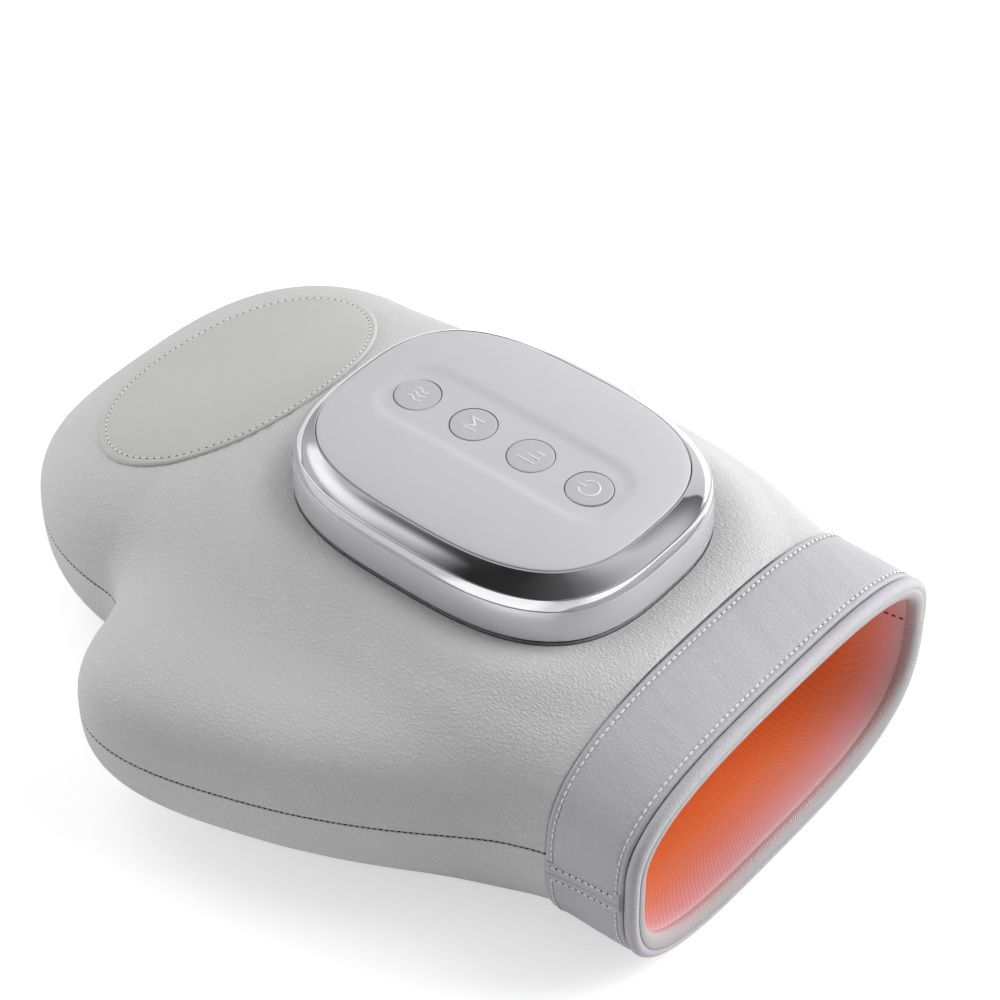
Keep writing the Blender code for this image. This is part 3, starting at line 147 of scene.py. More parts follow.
def ramp(tree, factor, stops):
    """A colour ramp from (place, colour or grey) stops."""
    item = node(tree, "ShaderNodeValToRGB", {0: factor})
    stripe = item.color_ramp
    stripe.interpolation = "LINEAR"
    while len(stripe.elements) < len(stops):
        stripe.elements.new(0.5)
    for element, (place, colour) in zip(stripe.elements, stops):
        element.position = place
        element.color = colour if isinstance(colour, tuple) else (colour, colour, colour, 1)
    return item.outputs["Color"]


def direction(tree, coordinate):
    """A direction as a share of a turn round the horizon, and its height."""
    way = node(tree, "ShaderNodeSeparateXYZ", {0: node(tree, "ShaderNodeTexCoord").outputs[coordinate]})
    azimuth = maths(tree, "ARCTAN2", way.outputs["Y"], way.outputs["X"])
    return maths(tree, "FRACT", maths(tree, "DIVIDE", azimuth, TURN)), way.outputs["Z"]


def round_stops(stops):
    """Stops given in degrees round the horizon, as shares of a turn."""
    return [(degrees / 360, value) for degrees, value in stops]


def mirrored_ray(tree, path):
    """1 for rays that come off a shiny surface or through a clear one."""
    return maths(tree, "MAXIMUM", path["Is Glossy Ray"], path["Is Transmission Ray"])


# %% [markdown]
# Light comes mostly from the right and behind, with a lower share from the left, so the near side of the mitt
# falls into a soft shade and its padding can be read. The strengths were found by rendering each lamp alone
# and weighing them against each other. Each lamp stands on a dome round the mitt. The chrome doesn't see the
# lamps, because it has cards of its own below.

# %% Lamps
DOME_RADIUS = 1.3
LAMP_SIZE = 0.8
LAMP_AIM = Vector((0, 0, 0.05))
# Name: direction from above and height over the horizon, both in degrees, and power in watts
LAMPS = {
    "top_lamp": (0, 88, 1.1),
    "right_high_lamp": (45, 50, 8.2),
    "right_low_lamp": (45, 15, 12.8),
    "left_high_lamp": (180, 50, 3.6),
    "left_low_lamp": (180, 15, 3.5),
    "front_left_lamp": (225, 15, 4.4),
}


def area_lamp(name, azimuth, height, power):
    """A soft square lamp on the dome that looks at the mitt."""
    lamp_data = bpy.data.lights.new(name, "AREA")
    lamp_data.energy = power
    lamp_data.size = LAMP_SIZE
    lamp = bpy.data.objects.new(name, lamp_data)
    turn, rise = math.radians(azimuth), math.radians(height)
    way = Vector((math.cos(turn) * math.cos(rise), math.sin(turn) * math.cos(rise), math.sin(rise)))
    lamp.location = LAMP_AIM + DOME_RADIUS * way
    lamp.rotation_euler = (-way).to_track_quat("-Z", "Y").to_euler()
    lamp.visible_glossy = False
    scene.collection.objects.link(lamp)


for name, (azimuth, height, power) in LAMPS.items():
    area_lamp(name, azimuth, height, power)
print("lamps:", len(LAMPS))

# %% [markdown]
# Chrome shows whatever stands round it. A product photographer surrounds it with white paper, a soft box and
# dark cards, so that its edge reads as light and dark bands. Here the world plays these for glossy rays: a
# ramp round the horizon for paper and cards, and a soft box on the left. Camera rays see plain white, and all
# other rays see an even grey that lights the mitt gently.

# %% World
WORLD_LIGHT = 0.24
CARD_LIGHT = 1.25
# Degrees round the horizon from +X towards +Y, and how bright the surroundings are there
CARDS = [(0, 0.22), (12, 0.34), (25, 0.46), (38, 0.56), (44, 0.44), (50, 0.30), (57, 0.18), (65, 0.12),
         (66, 0.55), (80, 0.62), (96, 0.70), (118, 0.48), (135, 0.46), (150, 0.30), (168, 0.34), (186, 0.46),
         (214, 0.46), (224, 0.12), (229, 0.06), (240, 0.035), (256, 0.022), (276, 0.026), (295, 0.045),
         (329, 0.085), (352, 0.17), (360, 0.22)]
# The soft box: degrees round the horizon, and the sine of the height over it
BOX_ROUND = [(0, 0.0), (174, 0.0), (186, 0.95), (212, 1.0), (225, 0.86), (235, 0.70), (240, 0.44),
             (244, 0.23), (250, 0.05), (257, 0.0), (360, 0.0)]
BOX_RISE = [(0.0, 0.10), (0.10, 0.25), (0.16, 0.55), (0.23, 0.88), (0.33, 1.0), (0.50, 0.95), (0.60, 0.64),
            (0.67, 0.32), (0.73, 0.12), (0.82, 0.03), (1.0, 0.0)]


def make_world():
    world = bpy.data.worlds.new("studio")
    scene.world = world
    world.use_nodes = True
    tree = world.node_tree
    tree.nodes.clear()
    azimuth, height = direction(tree, "Generated")
    box = maths(tree, "MULTIPLY", ramp(tree, azimuth, round_stops(BOX_ROUND)), ramp(tree, height, BOX_RISE))
    around = maths(tree, "MAXIMUM", ramp(tree, azimuth, round_stops(CARDS)), box)
    even, mirrored, white = (
        node(tree, "ShaderNodeBackground", given).outputs[0]
        for given in ({"Strength": WORLD_LIGHT}, {"Strength": CARD_LIGHT, "Color": around},
                      {"Strength": 1.0, "Color": (1, 1, 1, 1)}))
    path = node(tree, "ShaderNodeLightPath").outputs
    lit = node(tree, "ShaderNodeMixShader", {0: mirrored_ray(tree, path), 1: even, 2: mirrored})
    seen = node(tree, "ShaderNodeMixShader", {0: path["Is Camera Ray"], 1: lit.outputs[0], 2: white})
    node(tree, "ShaderNodeOutputWorld", {0: seen.outputs[0]})


make_world()
print("cards:", len(CARDS), "soft box:", len(BOX_ROUND), "by", len(BOX_RISE))

# %% [markdown]
# The floor is a sheet of white paper. It takes the mitt's shadow, and a glow of its own lifts it to the
# background's white for the camera, more so far away, where the lamps no longer reach. The chrome sees
# brighter and darker sheets on it.

# %% Floor
FLOOR_HALF = 3.0
FLOOR_COLOUR = (0.80, 0.80, 0.80, 1)
# How much of the glow the chrome sees round the horizon: white paper in front and on the right
FLOOR_SHEETS = [(0, 0.75), (14, 0.55), (30, 0.35), (50, 0.45), (70, 0.9), (90, 1.0), (120, 0.8), (140, 0.35),
                (170, 0.15), (200, 0.12), (258, 0.04), (264, 1.0), (306, 1.0), (318, 0.25), (338, 0.15),
                (352, 0.8), (360, 0.75)]
FLOOR_GLOW = 0.52               # added for camera and glossy rays, so that the lit floor just reaches white
GLOW_START, GLOW_END = 0.4, 1.8  # from here to there the glow grows to full white


def add_object(name, bm):
    """Turn a bmesh into an object of the scene."""
    mesh = bpy.data.meshes.new(name)
    bm.to_mesh(mesh)
    bm.free()
    item = bpy.data.objects.new(name, mesh)
    scene.collection.objects.link(item)
    return item


def make_floor():
    bm = bmesh.new()
    bmesh.ops.create_grid(bm, x_segments=1, y_segments=1, size=FLOOR_HALF)
    floor = add_object("floor", bm)
    paper = bpy.data.materials.new("studio paper")
    paper.use_nodes = True
    tree = paper.node_tree
    tree.nodes.clear()
    path = node(tree, "ShaderNodeLightPath").outputs
    azimuth, _ = direction(tree, "Object")
    sheets = maths(tree, "MULTIPLY", mirrored_ray(tree, path), ramp(tree, azimuth, round_stops(FLOOR_SHEETS)))
    seen = maths(tree, "MAXIMUM", path["Is Camera Ray"], sheets)
    across = node(tree, "ShaderNodeVectorMath", {0: own_place(tree)}, operation="LENGTH")
    away = node(tree, "ShaderNodeMapRange", {"Value": across.outputs["Value"], "From Min": GLOW_START,
                                             "From Max": GLOW_END, "To Min": FLOOR_GLOW, "To Max": 1.0})
    strength = maths(tree, "MULTIPLY", seen, away.outputs["Result"])
    glow = node(tree, "ShaderNodeEmission", {"Strength": strength})
    matt = node(tree, "ShaderNodeBsdfDiffuse", {"Color": FLOOR_COLOUR})
    both = node(tree, "ShaderNodeAddShader", {0: matt.outputs[0], 1: glow.outputs[0]})
    node(tree, "ShaderNodeOutputMaterial", {0: both.outputs[0]})
    floor.data.materials.append(paper)


make_floor()
print("floor:", 2 * FLOOR_HALF, "m wide")

# %% [markdown]
# Materials are built from a few shared effects, each a node group. Grain is the pebbled skin of coated
# leather: cells of about a millimetre with fainter ones between them. It puts out a height for the bump and
# a shade: blotches of tone, and painted shade that darkens the furrows a little and lightens the cells' tops.

# %% Grain
WOBBLE_RATE, WOBBLE_SIZE = 260.0, 0.0012
CELL_TURN, CELL_STRETCH = math.radians(40), (0.62, 1.15, 1.0)
CELL_ROUNDING = 0.28
FINE_RATE = 2.6                 # fine noise in each cell
BLOTCH_RATE, BLOTCH_SHARE = 16.0, 0.10
# the grain's painted shade: darker in the furrows below this level, by this share
FURROW_LEVEL, FURROW_PAINTED_SHADE = 0.15, 0.22


def make_grain():
    group, given, result = new_group(
        "grain", {"Cells per metre": 900.0, "Fine share": 0.4}, ("Height", "Shade"))
    place = own_place(group)
    wobble = cloud(group, place, WOBBLE_RATE, 2.0).outputs["Color"]
    shift = node(group, "ShaderNodeVectorMath", {0: wobble, "Scale": WOBBLE_SIZE}, operation="SCALE")
    moved = node(group, "ShaderNodeVectorMath", {0: place, 1: shift.outputs[0]}, operation="ADD")
    drawn = node(group, "ShaderNodeMapping", {"Vector": moved.outputs[0], "Rotation": (0.0, 0.0, CELL_TURN),
                                              "Scale": CELL_STRETCH})
    cells = node(group, "ShaderNodeTexVoronoi",
                 {"Vector": drawn.outputs[0], "Scale": given["Cells per metre"]}, feature="DISTANCE_TO_EDGE")
    rounded = maths(group, "SMOOTH_MIN", cells.outputs["Distance"], CELL_ROUNDING)
    fine = cloud(group, place, maths(group, "MULTIPLY", given["Cells per metre"], FINE_RATE), 3.0)
    added = maths(group, "MULTIPLY", fine.outputs["Fac"], given["Fine share"])
    # painted shade: darker in the furrows between the cells, lighter on their tops
    furrow = swing(group, rounded, FURROW_LEVEL, FURROW_PAINTED_SHADE)
    blotches = swing(group, cloud(group, place, BLOTCH_RATE, 2.0).outputs["Fac"], 0.5, BLOTCH_SHARE)
    shade = maths(group, "ADD", maths(group, "ADD", furrow, blotches), 1.0)
    group.links.new(maths(group, "ADD", rounded, added), result["Height"])
    group.links.new(shade, result["Shade"])
    return group


grain = make_grain()
print("grain:", len(grain.nodes), "nodes")

# %% [markdown]
# Speckle is the skin of moulded plastic, metal and film: a very fine roughness that varies, and a faint
# cloud of handling marks. It feeds roughness and a small bump, so that no part is one flat colour.

# %% Speckle
SPECK_RATE = 5200.0


def make_speckle():
    group, given, result = new_group(
        "speckle", {"Roughness": 0.4, "Spread": 0.1, "Marks per metre": 60.0},
        ("Roughness", "Height", "Shade"))
    place = own_place(group)
    marks = cloud(group, place, given["Marks per metre"], 4.0).outputs["Fac"]
    rough = maths(group, "ADD", given["Roughness"], swing(group, marks, 0.5, given["Spread"]))
    group.links.new(rough, result["Roughness"])
    group.links.new(cloud(group, place, SPECK_RATE, 1.0).outputs["Fac"], result["Height"])
    group.links.new(maths(group, "ADD", swing(group, marks, 0.5, 0.05), 1.0), result["Shade"])
    return group


speckle = make_speckle()
print("speckle:", len(speckle.nodes), "nodes")

# %% [markdown]
# Weave is the mesh of the lining and the ribs of the knit facing. It reads the piece's own map, which is laid
# out in metres along and across the cloth, so the threads follow the pocket's shape. Its shade is painted
# shade:
# the threads are lighter on their crests and darker in the hollows between them.

# %% Weave


def make_weave():
    group, given, result = new_group(
        "weave", {"Threads per metre": 900.0, "Cross share": 1.0}, ("Height", "Shade"))
    parts = node(group, "ShaderNodeSeparateXYZ",
                 {0: node(group, "ShaderNodeUVMap", uv_map="cloth").outputs["UV"]}).outputs
    rate = maths(group, "MULTIPLY", given["Threads per metre"], TURN)
    crossing = maths(group, "MULTIPLY", parts["Y"], given["Cross share"])
    sides = [maths(group, "SINE", maths(group, "MULTIPLY", maths(group, sign, parts["X"], crossing), rate))
             for sign in ("ADD", "SUBTRACT")]
    height = maths(group, "MULTIPLY", maths(group, "ADD", *sides), 0.25)
    group.links.new(maths(group, "ADD", height, 0.5), result["Height"])
    # painted shade: the threads lighter on their crests, darker in the hollows between them
    group.links.new(maths(group, "ADD", maths(group, "MULTIPLY", height, 0.18), 1.0), result["Shade"])
    return group


weave = make_weave()
print("weave:", len(weave.nodes), "nodes")

# %% [markdown]
# A finish joins one of these effects to a Principled shader. Colours are written as they should render.
# Leather is rough with a deep bump, thread and rubber are dull, plastic is smoother, chrome is a mirror.

# %% Finishes


def srgb(red, green, blue):
    """Screen values from 0 to 255 as the linear colour that renders like them."""
    shares = (red / 255, green / 255, blue / 255)
    return (*(share / 12.92 if share <= 0.04045 else ((share + 0.055) / 1.055) ** 2.4 for share in shares), 1)


def tinted(tree, colour, shade):
    """A colour, plain or from a socket, times a shade that varies over the surface."""
    return node(tree, "ShaderNodeMix", {"Factor": 1.0, "A": colour, "B": shade}, data_type="RGBA",
                blend_type="MULTIPLY").outputs["Result"]


def finish(name, colour, effect, effect_values, roughness, bump, metallic=0.0, coat=0.0):
    """A procedural material from one effect. bump is (strength, depth in metres)."""
    material = bpy.data.materials.new(name)
    material.use_nodes = True
    tree = material.node_tree
    shader = tree.nodes["Principled BSDF"].inputs
    for label, value in (("Metallic", metallic), ("Roughness", roughness), ("Coat Weight", coat)):
        shader[label].default_value = value
    group = node(tree, "ShaderNodeGroup", effect_values, node_tree=effect)
    if "Roughness" in group.outputs:
        group.inputs["Roughness"].default_value = roughness
        tree.links.new(group.outputs["Roughness"], shader["Roughness"])
    tree.links.new(tinted(tree, colour, group.outputs["Shade"]), shader["Base Color"])
    ripple = node(tree, "ShaderNodeBump", {"Strength": bump[0], "Distance": bump[1],
                                           "Height": group.outputs["Height"]})
    tree.links.new(ripple.outputs["Normal"], shader["Normal"])
    return material


def leather(name, colour, cells, roughness, bump):
    return finish(name, colour, grain, {"Cells per metre": cells}, roughness, bump)


def moulded(name, colour, spread, roughness, strength, depth=0.0001, **more):
    return finish(name, colour, speckle, {"Spread": spread}, roughness, (strength, depth), **more)


cover_leather = leather("cover leather", srgb(206, 206, 206), 760.0, 0.50, (0.8, 0.0007))
# the underside's leather is the back's leather made a little lighter: painted light that lifts the
# downward-facing underside out of its shade
underside_leather_painted_lighter = leather("lower leather", srgb(212, 212, 213), 760.0, 0.54, (0.6, 0.0006))
patch_leather = leather("patch leather", srgb(196, 196, 194), 1400.0, 0.62, (0.3, 0.0003))
cuff_leather = leather("cuff leather", srgb(188, 187, 192), 700.0, 0.48, (0.5, 0.0005))
thread = moulded("stitching thread", srgb(238, 238, 236), 0.1, 0.6, 0.3)
# near black: a dark thread with painted shade of the seam's groove in it
seam_thread_and_groove_shade = moulded("seam thread and groove shade", srgb(46, 46, 48), 0.1, 0.7, 0.3)
# dark marks for the shade at the housing's foot and in the button gaps: painted shade
painted_gap_shade = moulded("dark painted gap shade", srgb(84, 84, 87), 0.1, 0.7, 0.1)
# dark marks at the needle holes: painted shade
painted_hole_shade = moulded("painted needle hole shade", srgb(70, 70, 72), 0.1, 0.8, 0.1)
dark_thread = moulded("dark thread", srgb(70, 40, 38), 0.1, 0.7, 0.3)
gloss_grey = moulded("gloss grey plastic", srgb(224, 224, 229), 0.05, 0.22, 0.05, metallic=0.6, coat=0.3)
chrome = moulded("chrome", srgb(225, 225, 228), 0.03, 0.06, 0.02, metallic=1.0)
panel_satin = moulded("satin panel", srgb(200, 200, 205), 0.06, 0.34, 0.05)
button_satin = moulded("satin button", srgb(191, 191, 195), 0.06, 0.36, 0.05)
mark_paint = moulded("mark paint", srgb(252, 252, 252), 0.1, 0.4, 0.1)
print("finishes:", len(bpy.data.materials))

# %% [markdown]
# The pocket's cloth is painted with a glow of its own, for the warmth of the heating film, which also lifts
# the
# pocket out of its shade: grey at the rim, then pink, then orange, and deep orange where the hand lies. A
# ramp along the pocket sets both its painted colour and its painted glow, a gentle light of its own.

# %% Cloth with painted glow
# Station along the pocket, the cloth's painted colour there, and its share of painted glow
PAINTED_GLOW = [(0.1060, (210, 208, 210), 0.0), (0.1036, (208, 198, 200), 0.03), (0.1012, (207, 168, 170), 0.20),
        (0.0975, (206, 142, 143), 0.30), (0.0915, (206, 122, 98), 0.32), (0.0830, (206, 102, 56), 0.36),
        (0.0700, (198, 82, 30), 0.40), (0.0450, (172, 46, 14), 0.45)]
CLOTH_DEPTH = 0.80              # the cloth's base colour, painted along the pocket, is this much of the colour that shows
WANDER_RATE, WANDER_SIZE = 22.0, 0.08


def dimmed(colour, share):
    return (*(share * channel for channel in colour[:3]), 1)


def painted_glow_cloth(name, weave_values, bump):
    """A woven finish whose painted colour and painted glow follow the pocket's depth."""
    material = finish(name, srgb(230, 230, 230), weave, weave_values, 0.85, bump)
    tree = material.node_tree
    place = own_place(tree)
    station = node(tree, "ShaderNodeSeparateXYZ", {0: place}).outputs["X"]
    first, last = PAINTED_GLOW[0][0], PAINTED_GLOW[-1][0]
    depth = node(tree, "ShaderNodeMapRange", {"Value": station, "From Min": first + SHIFT.x,
                                              "From Max": last + SHIFT.x})
    wander = swing(tree, cloud(tree, place, WANDER_RATE, 1.0).outputs["Fac"], 0.5, WANDER_SIZE)
    share = maths(tree, "ADD", depth.outputs[0], wander)
    stops = [((first - x) / (first - last), srgb(*colour), glow) for x, colour, glow in PAINTED_GLOW]
    # the cloth's colour, painted along the pocket from grey to deep orange to go with the glow
    body = ramp(tree, share, [(at, dimmed(colour, CLOTH_DEPTH)) for at, colour, _ in stops])
    # painted glow: the cloth gives off light of its own, though it is no lamp
    light = ramp(tree, share, [(at, dimmed(colour, glow)) for at, colour, glow in stops])
    shader = tree.nodes["Principled BSDF"].inputs
    for source, target in ((body, "Base Color"), (light, "Emission Color")):
        tree.links.new(tinted(tree, source, tree.nodes["Group"].outputs["Shade"]), shader[target])
    shader["Emission Strength"].default_value = 1.0
    return material


lining_cloth = painted_glow_cloth("lining cloth with painted glow", {"Threads per metre": 800.0}, (0.35, 0.0002))
facing_knit = painted_glow_cloth("facing knit", {"Threads per metre": 1000.0, "Cross share": 0.0}, (0.6, 0.0003))
print("glow along the pocket:", len(PAINTED_GLOW), "stops")

# %% [markdown]
# The mitt's form is one formula: a rounded tube for the palm and fingers and a rounded pod for the thumb,
# blended so that the valley between them is soft. A point is inside where the formula is below zero, and its
# surface is found by walking out along a ray until it turns positive. The solids under the covers follow the
# same rule, so the leather lies on them.

# %% Sizes of the mitt
FINGER_REACH = 0.1630
FINGER_STATION = 0.0950
KNUCKLE_STATION = 0.0100
HEEL_STATION = 0.0460
WRIST_STATION = 0.0744
MOUTH_STATION = 0.1014
STATIONS = (-FINGER_STATION, -KNUCKLE_STATION, HEEL_STATION, WRIST_STATION, MOUTH_STATION)
HALF_WIDTHS = (0.0737, 0.0815, 0.0787, 0.0706, 0.0702)
SEAM_HEIGHTS = (0.0364, 0.0357, 0.0401, 0.0414, 0.0460)
CROWNS = (0.0395, 0.0486, 0.0436, 0.0371, 0.0285)
LIFTS = (-0.0010, -0.0010, -0.0010, 0.0016, 0.0016)
LEANS = (0.0019, 0, -0.0017, 0, 0)
TOP_POWER, BOTTOM_POWER = 2.95, 3.29
TIP_PLAN_POWER, TIP_SIDE_POWER = 2.35, 1.79
THUMB_PLACE = (-0.0175, -0.0634)
THUMB_HALF_LENGTH, THUMB_HALF_WIDTH = 0.0672, 0.0454
THUMB_CROWN, THUMB_DEPTH = 0.0281, 0.0301
THUMB_ANGLE = math.radians(7.7)
THUMB_POWER = 3.09
THUMB_TAPER = 0.26
THUMB_BLEND = 0.0110
FIELD_CAP = 0.0500
CONSOLE_HALF_LENGTH, CONSOLE_HALF_WIDTH = 0.0608, 0.0476
CONSOLE_POWER = 2.95
CONSOLE_SEAT = 0.0812
CONSOLE_PAD, CONSOLE_BLEND = 1.04, 0.34
SECTION = (0.0850, 0.0450)      # the ellipse whose directions spread the rays of a section
TINY = 1e-12
NO_INSET = (0,) * 7
FAR = 2 * max(HALF_WIDTHS)
HALVINGS = 30

# %% The mitt's formula


def through(x, values):
    """A smooth curve through values given at the stations, level past its ends."""
    stations, values = np.array(STATIONS, float), np.array(values, float)
    slopes = np.gradient(values, stations)
    x = np.clip(x, stations[0], stations[-1])
    k = np.clip(np.searchsorted(stations, x) - 1, 0, len(stations) - 2)
    span = stations[k + 1] - stations[k]
    t = (x - stations[k]) / span
    rise = (1 + 2 * t) * (1 - t) ** 2 * values[k] + t * t * (3 - 2 * t) * values[k + 1]
    return rise + span * (t * (1 - t) ** 2 * slopes[k] - t * t * (1 - t) * slopes[k + 1])


def ease(value):
    value = np.clip(value, 0.0, 1.0)
    return value * value * (3 - 2 * value)


def turned(x, y, place, angle):
    """Distances along and across a line that runs through a place of the plan at an angle."""
    away, aside = x - place[0], y - place[1]
    return (math.cos(angle) * away + math.sin(angle) * aside,
            -math.sin(angle) * away + math.cos(angle) * aside)


def mitt_field(x, y, z, inset):
    """Below zero inside the mitt. inset is (side, top, bottom, end, thumb side, top, bottom)."""
    side, top, bottom, end, thumb_side, thumb_top, thumb_bottom = inset
    seam = through(x, SEAM_HEIGHTS)
    above = z >= seam
    past = np.clip((-FINGER_STATION - x) / (FINGER_REACH - FINGER_STATION - end), 0, 1)
    plan = np.maximum(1 - past ** TIP_PLAN_POWER, 0) ** (1 / TIP_PLAN_POWER)
    profile = np.maximum(1 - past ** TIP_SIDE_POWER, 0) ** (1 / TIP_SIDE_POWER)
    lift = np.where(x < 0, LIFTS[0], through(x, LIFTS))
    half = np.maximum((through(x, HALF_WIDTHS) - side) * plan, 1e-6)
    high = np.where(above, (through(x, CROWNS) - top) * profile, (seam - lift - bottom) * profile)
    high = np.maximum(high, 1e-6)
    power = np.where(above, TOP_POWER, BOTTOM_POWER)
    across = np.abs(y - through(x, LEANS)) / half
    palm = (across ** power + (np.abs(z - seam) / high) ** power) ** (1 / power) - 1
    palm = palm * np.minimum(half, FIELD_CAP)

    along, aside = turned(x, y, THUMB_PLACE, THUMB_ANGLE)
    swell = 1 - THUMB_TAPER * along / THUMB_HALF_LENGTH
    width = THUMB_HALF_WIDTH - thumb_side
    high = np.where(above, THUMB_CROWN - thumb_top, THUMB_DEPTH - thumb_bottom)
    thumb = (np.abs(along / (THUMB_HALF_LENGTH - thumb_side)) ** THUMB_POWER
             + np.abs(aside / (width * swell)) ** THUMB_POWER
             + np.abs((z - seam) / high) ** THUMB_POWER) ** (1 / THUMB_POWER) - 1
    thumb = thumb * np.minimum(width, FIELD_CAP)
    mix = np.clip((palm - thumb) / (2 * THUMB_BLEND) + 0.5, 0, 1)
    return palm * (1 - mix) + thumb * mix - THUMB_BLEND * mix * (1 - mix)


def surface(x, angle, inset=NO_INSET):
    """Places on the mitt, found along rays from the line through the middle of its seam."""
    x, angle = np.broadcast_arrays(np.asarray(x, float), np.asarray(angle, float))
    middle, seam = through(x, LEANS), through(x, SEAM_HEIGHTS)
    low, high = np.zeros(x.shape), np.full(x.shape, FAR)
    for _ in range(HALVINGS):
        reach = (low + high) / 2
        inside = mitt_field(x, middle + reach * np.cos(angle), seam + reach * np.sin(angle), inset) < 0
        low, high = np.where(inside, reach, low), np.where(inside, high, reach)
    return np.stack([x, middle + low * np.cos(angle), seam + low * np.sin(angle)], axis=-1)


def height_at(x, y):
    """Height of the mitt's back over a place of the plan."""
    x, y = np.broadcast_arrays(np.asarray(x, float), np.asarray(y, float))
    low, high = through(x, SEAM_HEIGHTS), np.full(x.shape, FAR)
    for _ in range(HALVINGS):
        z = (low + high) / 2
        inside = mitt_field(x, y, z, NO_INSET) < 0
        low, high = np.where(inside, z, low), np.where(inside, high, z)
    return low


def console_share(x, y, inset=0):
    """1 on the console's outline, or on one drawn in by the inset, and less inside it."""
    return ((np.abs(x) / (CONSOLE_HALF_LENGTH - inset)) ** CONSOLE_POWER
            + (np.abs(y) / (CONSOLE_HALF_WIDTH - inset)) ** CONSOLE_POWER) ** (1 / CONSOLE_POWER)


def settle(points):
    """Press the leather flat on the floor and draw it flat under the console."""
    x, y, z = points[..., 0], points[..., 1], points[..., 2]
    flat = ease((CONSOLE_PAD + CONSOLE_BLEND - console_share(x, y)) / CONSOLE_BLEND) * (z > CONSOLE_SEAT / 2)
    z = z * (1 - flat) + CONSOLE_SEAT * flat
    return np.stack([x, y, np.maximum(z, 0)], axis=-1)


print("mitt: back at the console's middle", round(float(height_at(0, 0)), 4), "m")

# %% [markdown]
# Every soft piece starts as a flat grid made by one operator, whose vertices are then moved to their places,
# as cloth is drawn over a form. The grid keeps a map in metres along and across it, for weave and ribs. A
# sheet then gets its thickness, and a piece rides on its body and takes its finish.

# %% Grid helpers
WELD = 1e-6                     # vertices closer than this become one


def lengths(points, axis=0):
    """Length along lines of places, from 0 at the first place of each."""
    steps = np.cumsum(np.linalg.norm(np.diff(points, axis=axis), axis=-1), axis=axis)
    return np.concatenate([np.zeros_like(np.take(steps, [0], axis)), steps], axis)


def at_lengths(line, arc, places):
    """Places at given lengths along a line."""
    return np.stack([np.interp(places, arc, line[:, k]) for k in range(3)], axis=-1)


def drape(points, wrap=False):
    """A grid whose vertices lie on a (rows, columns, 3) array of places, with a map in metres."""
    rows, columns = points.shape[:2]
    bm = bmesh.new()
    bmesh.ops.create_grid(bm, x_segments=columns - 1, y_segments=rows - 1, size=1.0)
    along, across = lengths(points, 0), lengths(points, 1)
    cell = {}
    for vert in bm.verts:
        row, column = round((vert.co.y + 1) / 2 * (rows - 1)), round((vert.co.x + 1) / 2 * (columns - 1))
        cell[vert] = (row, column)
        vert.co = Vector(points[row, column]) + SHIFT
    layer = bm.loops.layers.uv.new("cloth")
    for face in bm.faces:
        for loop in face.loops:
            row, column = cell[loop.vert]
            loop[layer].uv = (across[row, column], along[row, column])
    if wrap:
        bmesh.ops.remove_doubles(bm, verts=bm.verts, dist=WELD)
    return bm


def thicken(bm, wall, way, look=1):
    """Give a sheet its thickness. Its face farthest along a way looks along it, or back where look is -1."""
    bmesh.ops.recalc_face_normals(bm, faces=bm.faces)
    farthest = max(bm.faces, key=lambda face: way.dot(face.calc_center_median()))
    if look * farthest.normal.dot(way) < 0:
        bmesh.ops.reverse_faces(bm, faces=bm.faces)
    bmesh.ops.solidify(bm, geom=bm.faces, thickness=wall)


def make_piece(name, bm, material, replaces=(), body="root"):
    """Turn a bmesh into a smooth piece that rides on a body and takes a finish."""
    bmesh.ops.remove_doubles(bm, verts=bm.verts, dist=WELD)
    bmesh.ops.recalc_face_normals(bm, faces=bm.faces)
    piece = add_object(name, bm)
    piece.data.shade_smooth()
    piece.data.materials.append(material)
    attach(piece, body)
    if replaces:
        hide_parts(*replaces)
    print(f"{name}: {len(piece.data.polygons)} faces")
    return piece


# %% [markdown]
# The covers are two padded shells sewn together at the waist seam. Their edges roll inward there, so the
# seam is a fine groove with small puckers, as a machine stitch pulls them. The leather also sinks a little at
# the console's foot, round the finger patch and under the cuff. All of this is a relief along the surface's
# own direction.

# %% Relief of the leather
SEAM_ROLL = 0.8 * MM
SEAM_PITCH = 1.75 * MM
PUCKER_HEIGHT = 0.05 * MM
FAR_SWELL, FAR_PLACE, FAR_SPAN = 1.5 * MM, (-0.040, 0.060), 0.016  # the pad swells a little on the far side
CREASE_HEIGHT, CREASE_RATE, CREASE_SLOW, CREASE_REACH = 0.22 * MM, 420, 60, 9 * MM
CONSOLE_MEAN = 0.052            # a mean half size of the console turns shares into distances
PATCH_MEAN = 0.038              # and one of the finger patch
PATCH_X, PATCH_Y = -0.1062, -0.0003
PATCH_HALF_LENGTH, PATCH_HALF_WIDTH = 0.0310, 0.0508
PATCH_TURN = math.radians(-6.6)


def roll(distance, radius):
    """How far a rolled edge drops at a distance from it."""
    near = np.clip(1 - distance / radius, 0, 1)
    return radius * (1 - np.sqrt(1 - near ** 2))


def bump_at(distance, width):
    return np.exp(-(distance / width) ** 2)


def patch_share(x, y):
    """1 on the outline of the finger patch, less inside it."""
    along, across = turned(x, y, (PATCH_X, PATCH_Y), PATCH_TURN)
    return np.sqrt((along / PATCH_HALF_LENGTH) ** 2 + (across / PATCH_HALF_WIDTH) ** 2)


def outward(points, side):
    """Unit directions out of a grid of places; side 1 for the back, -1 for the underside."""
    normal = side * np.cross(np.gradient(points, axis=1), np.gradient(points, axis=0))
    return normal / np.maximum(np.linalg.norm(normal, axis=-1, keepdims=True), TINY)


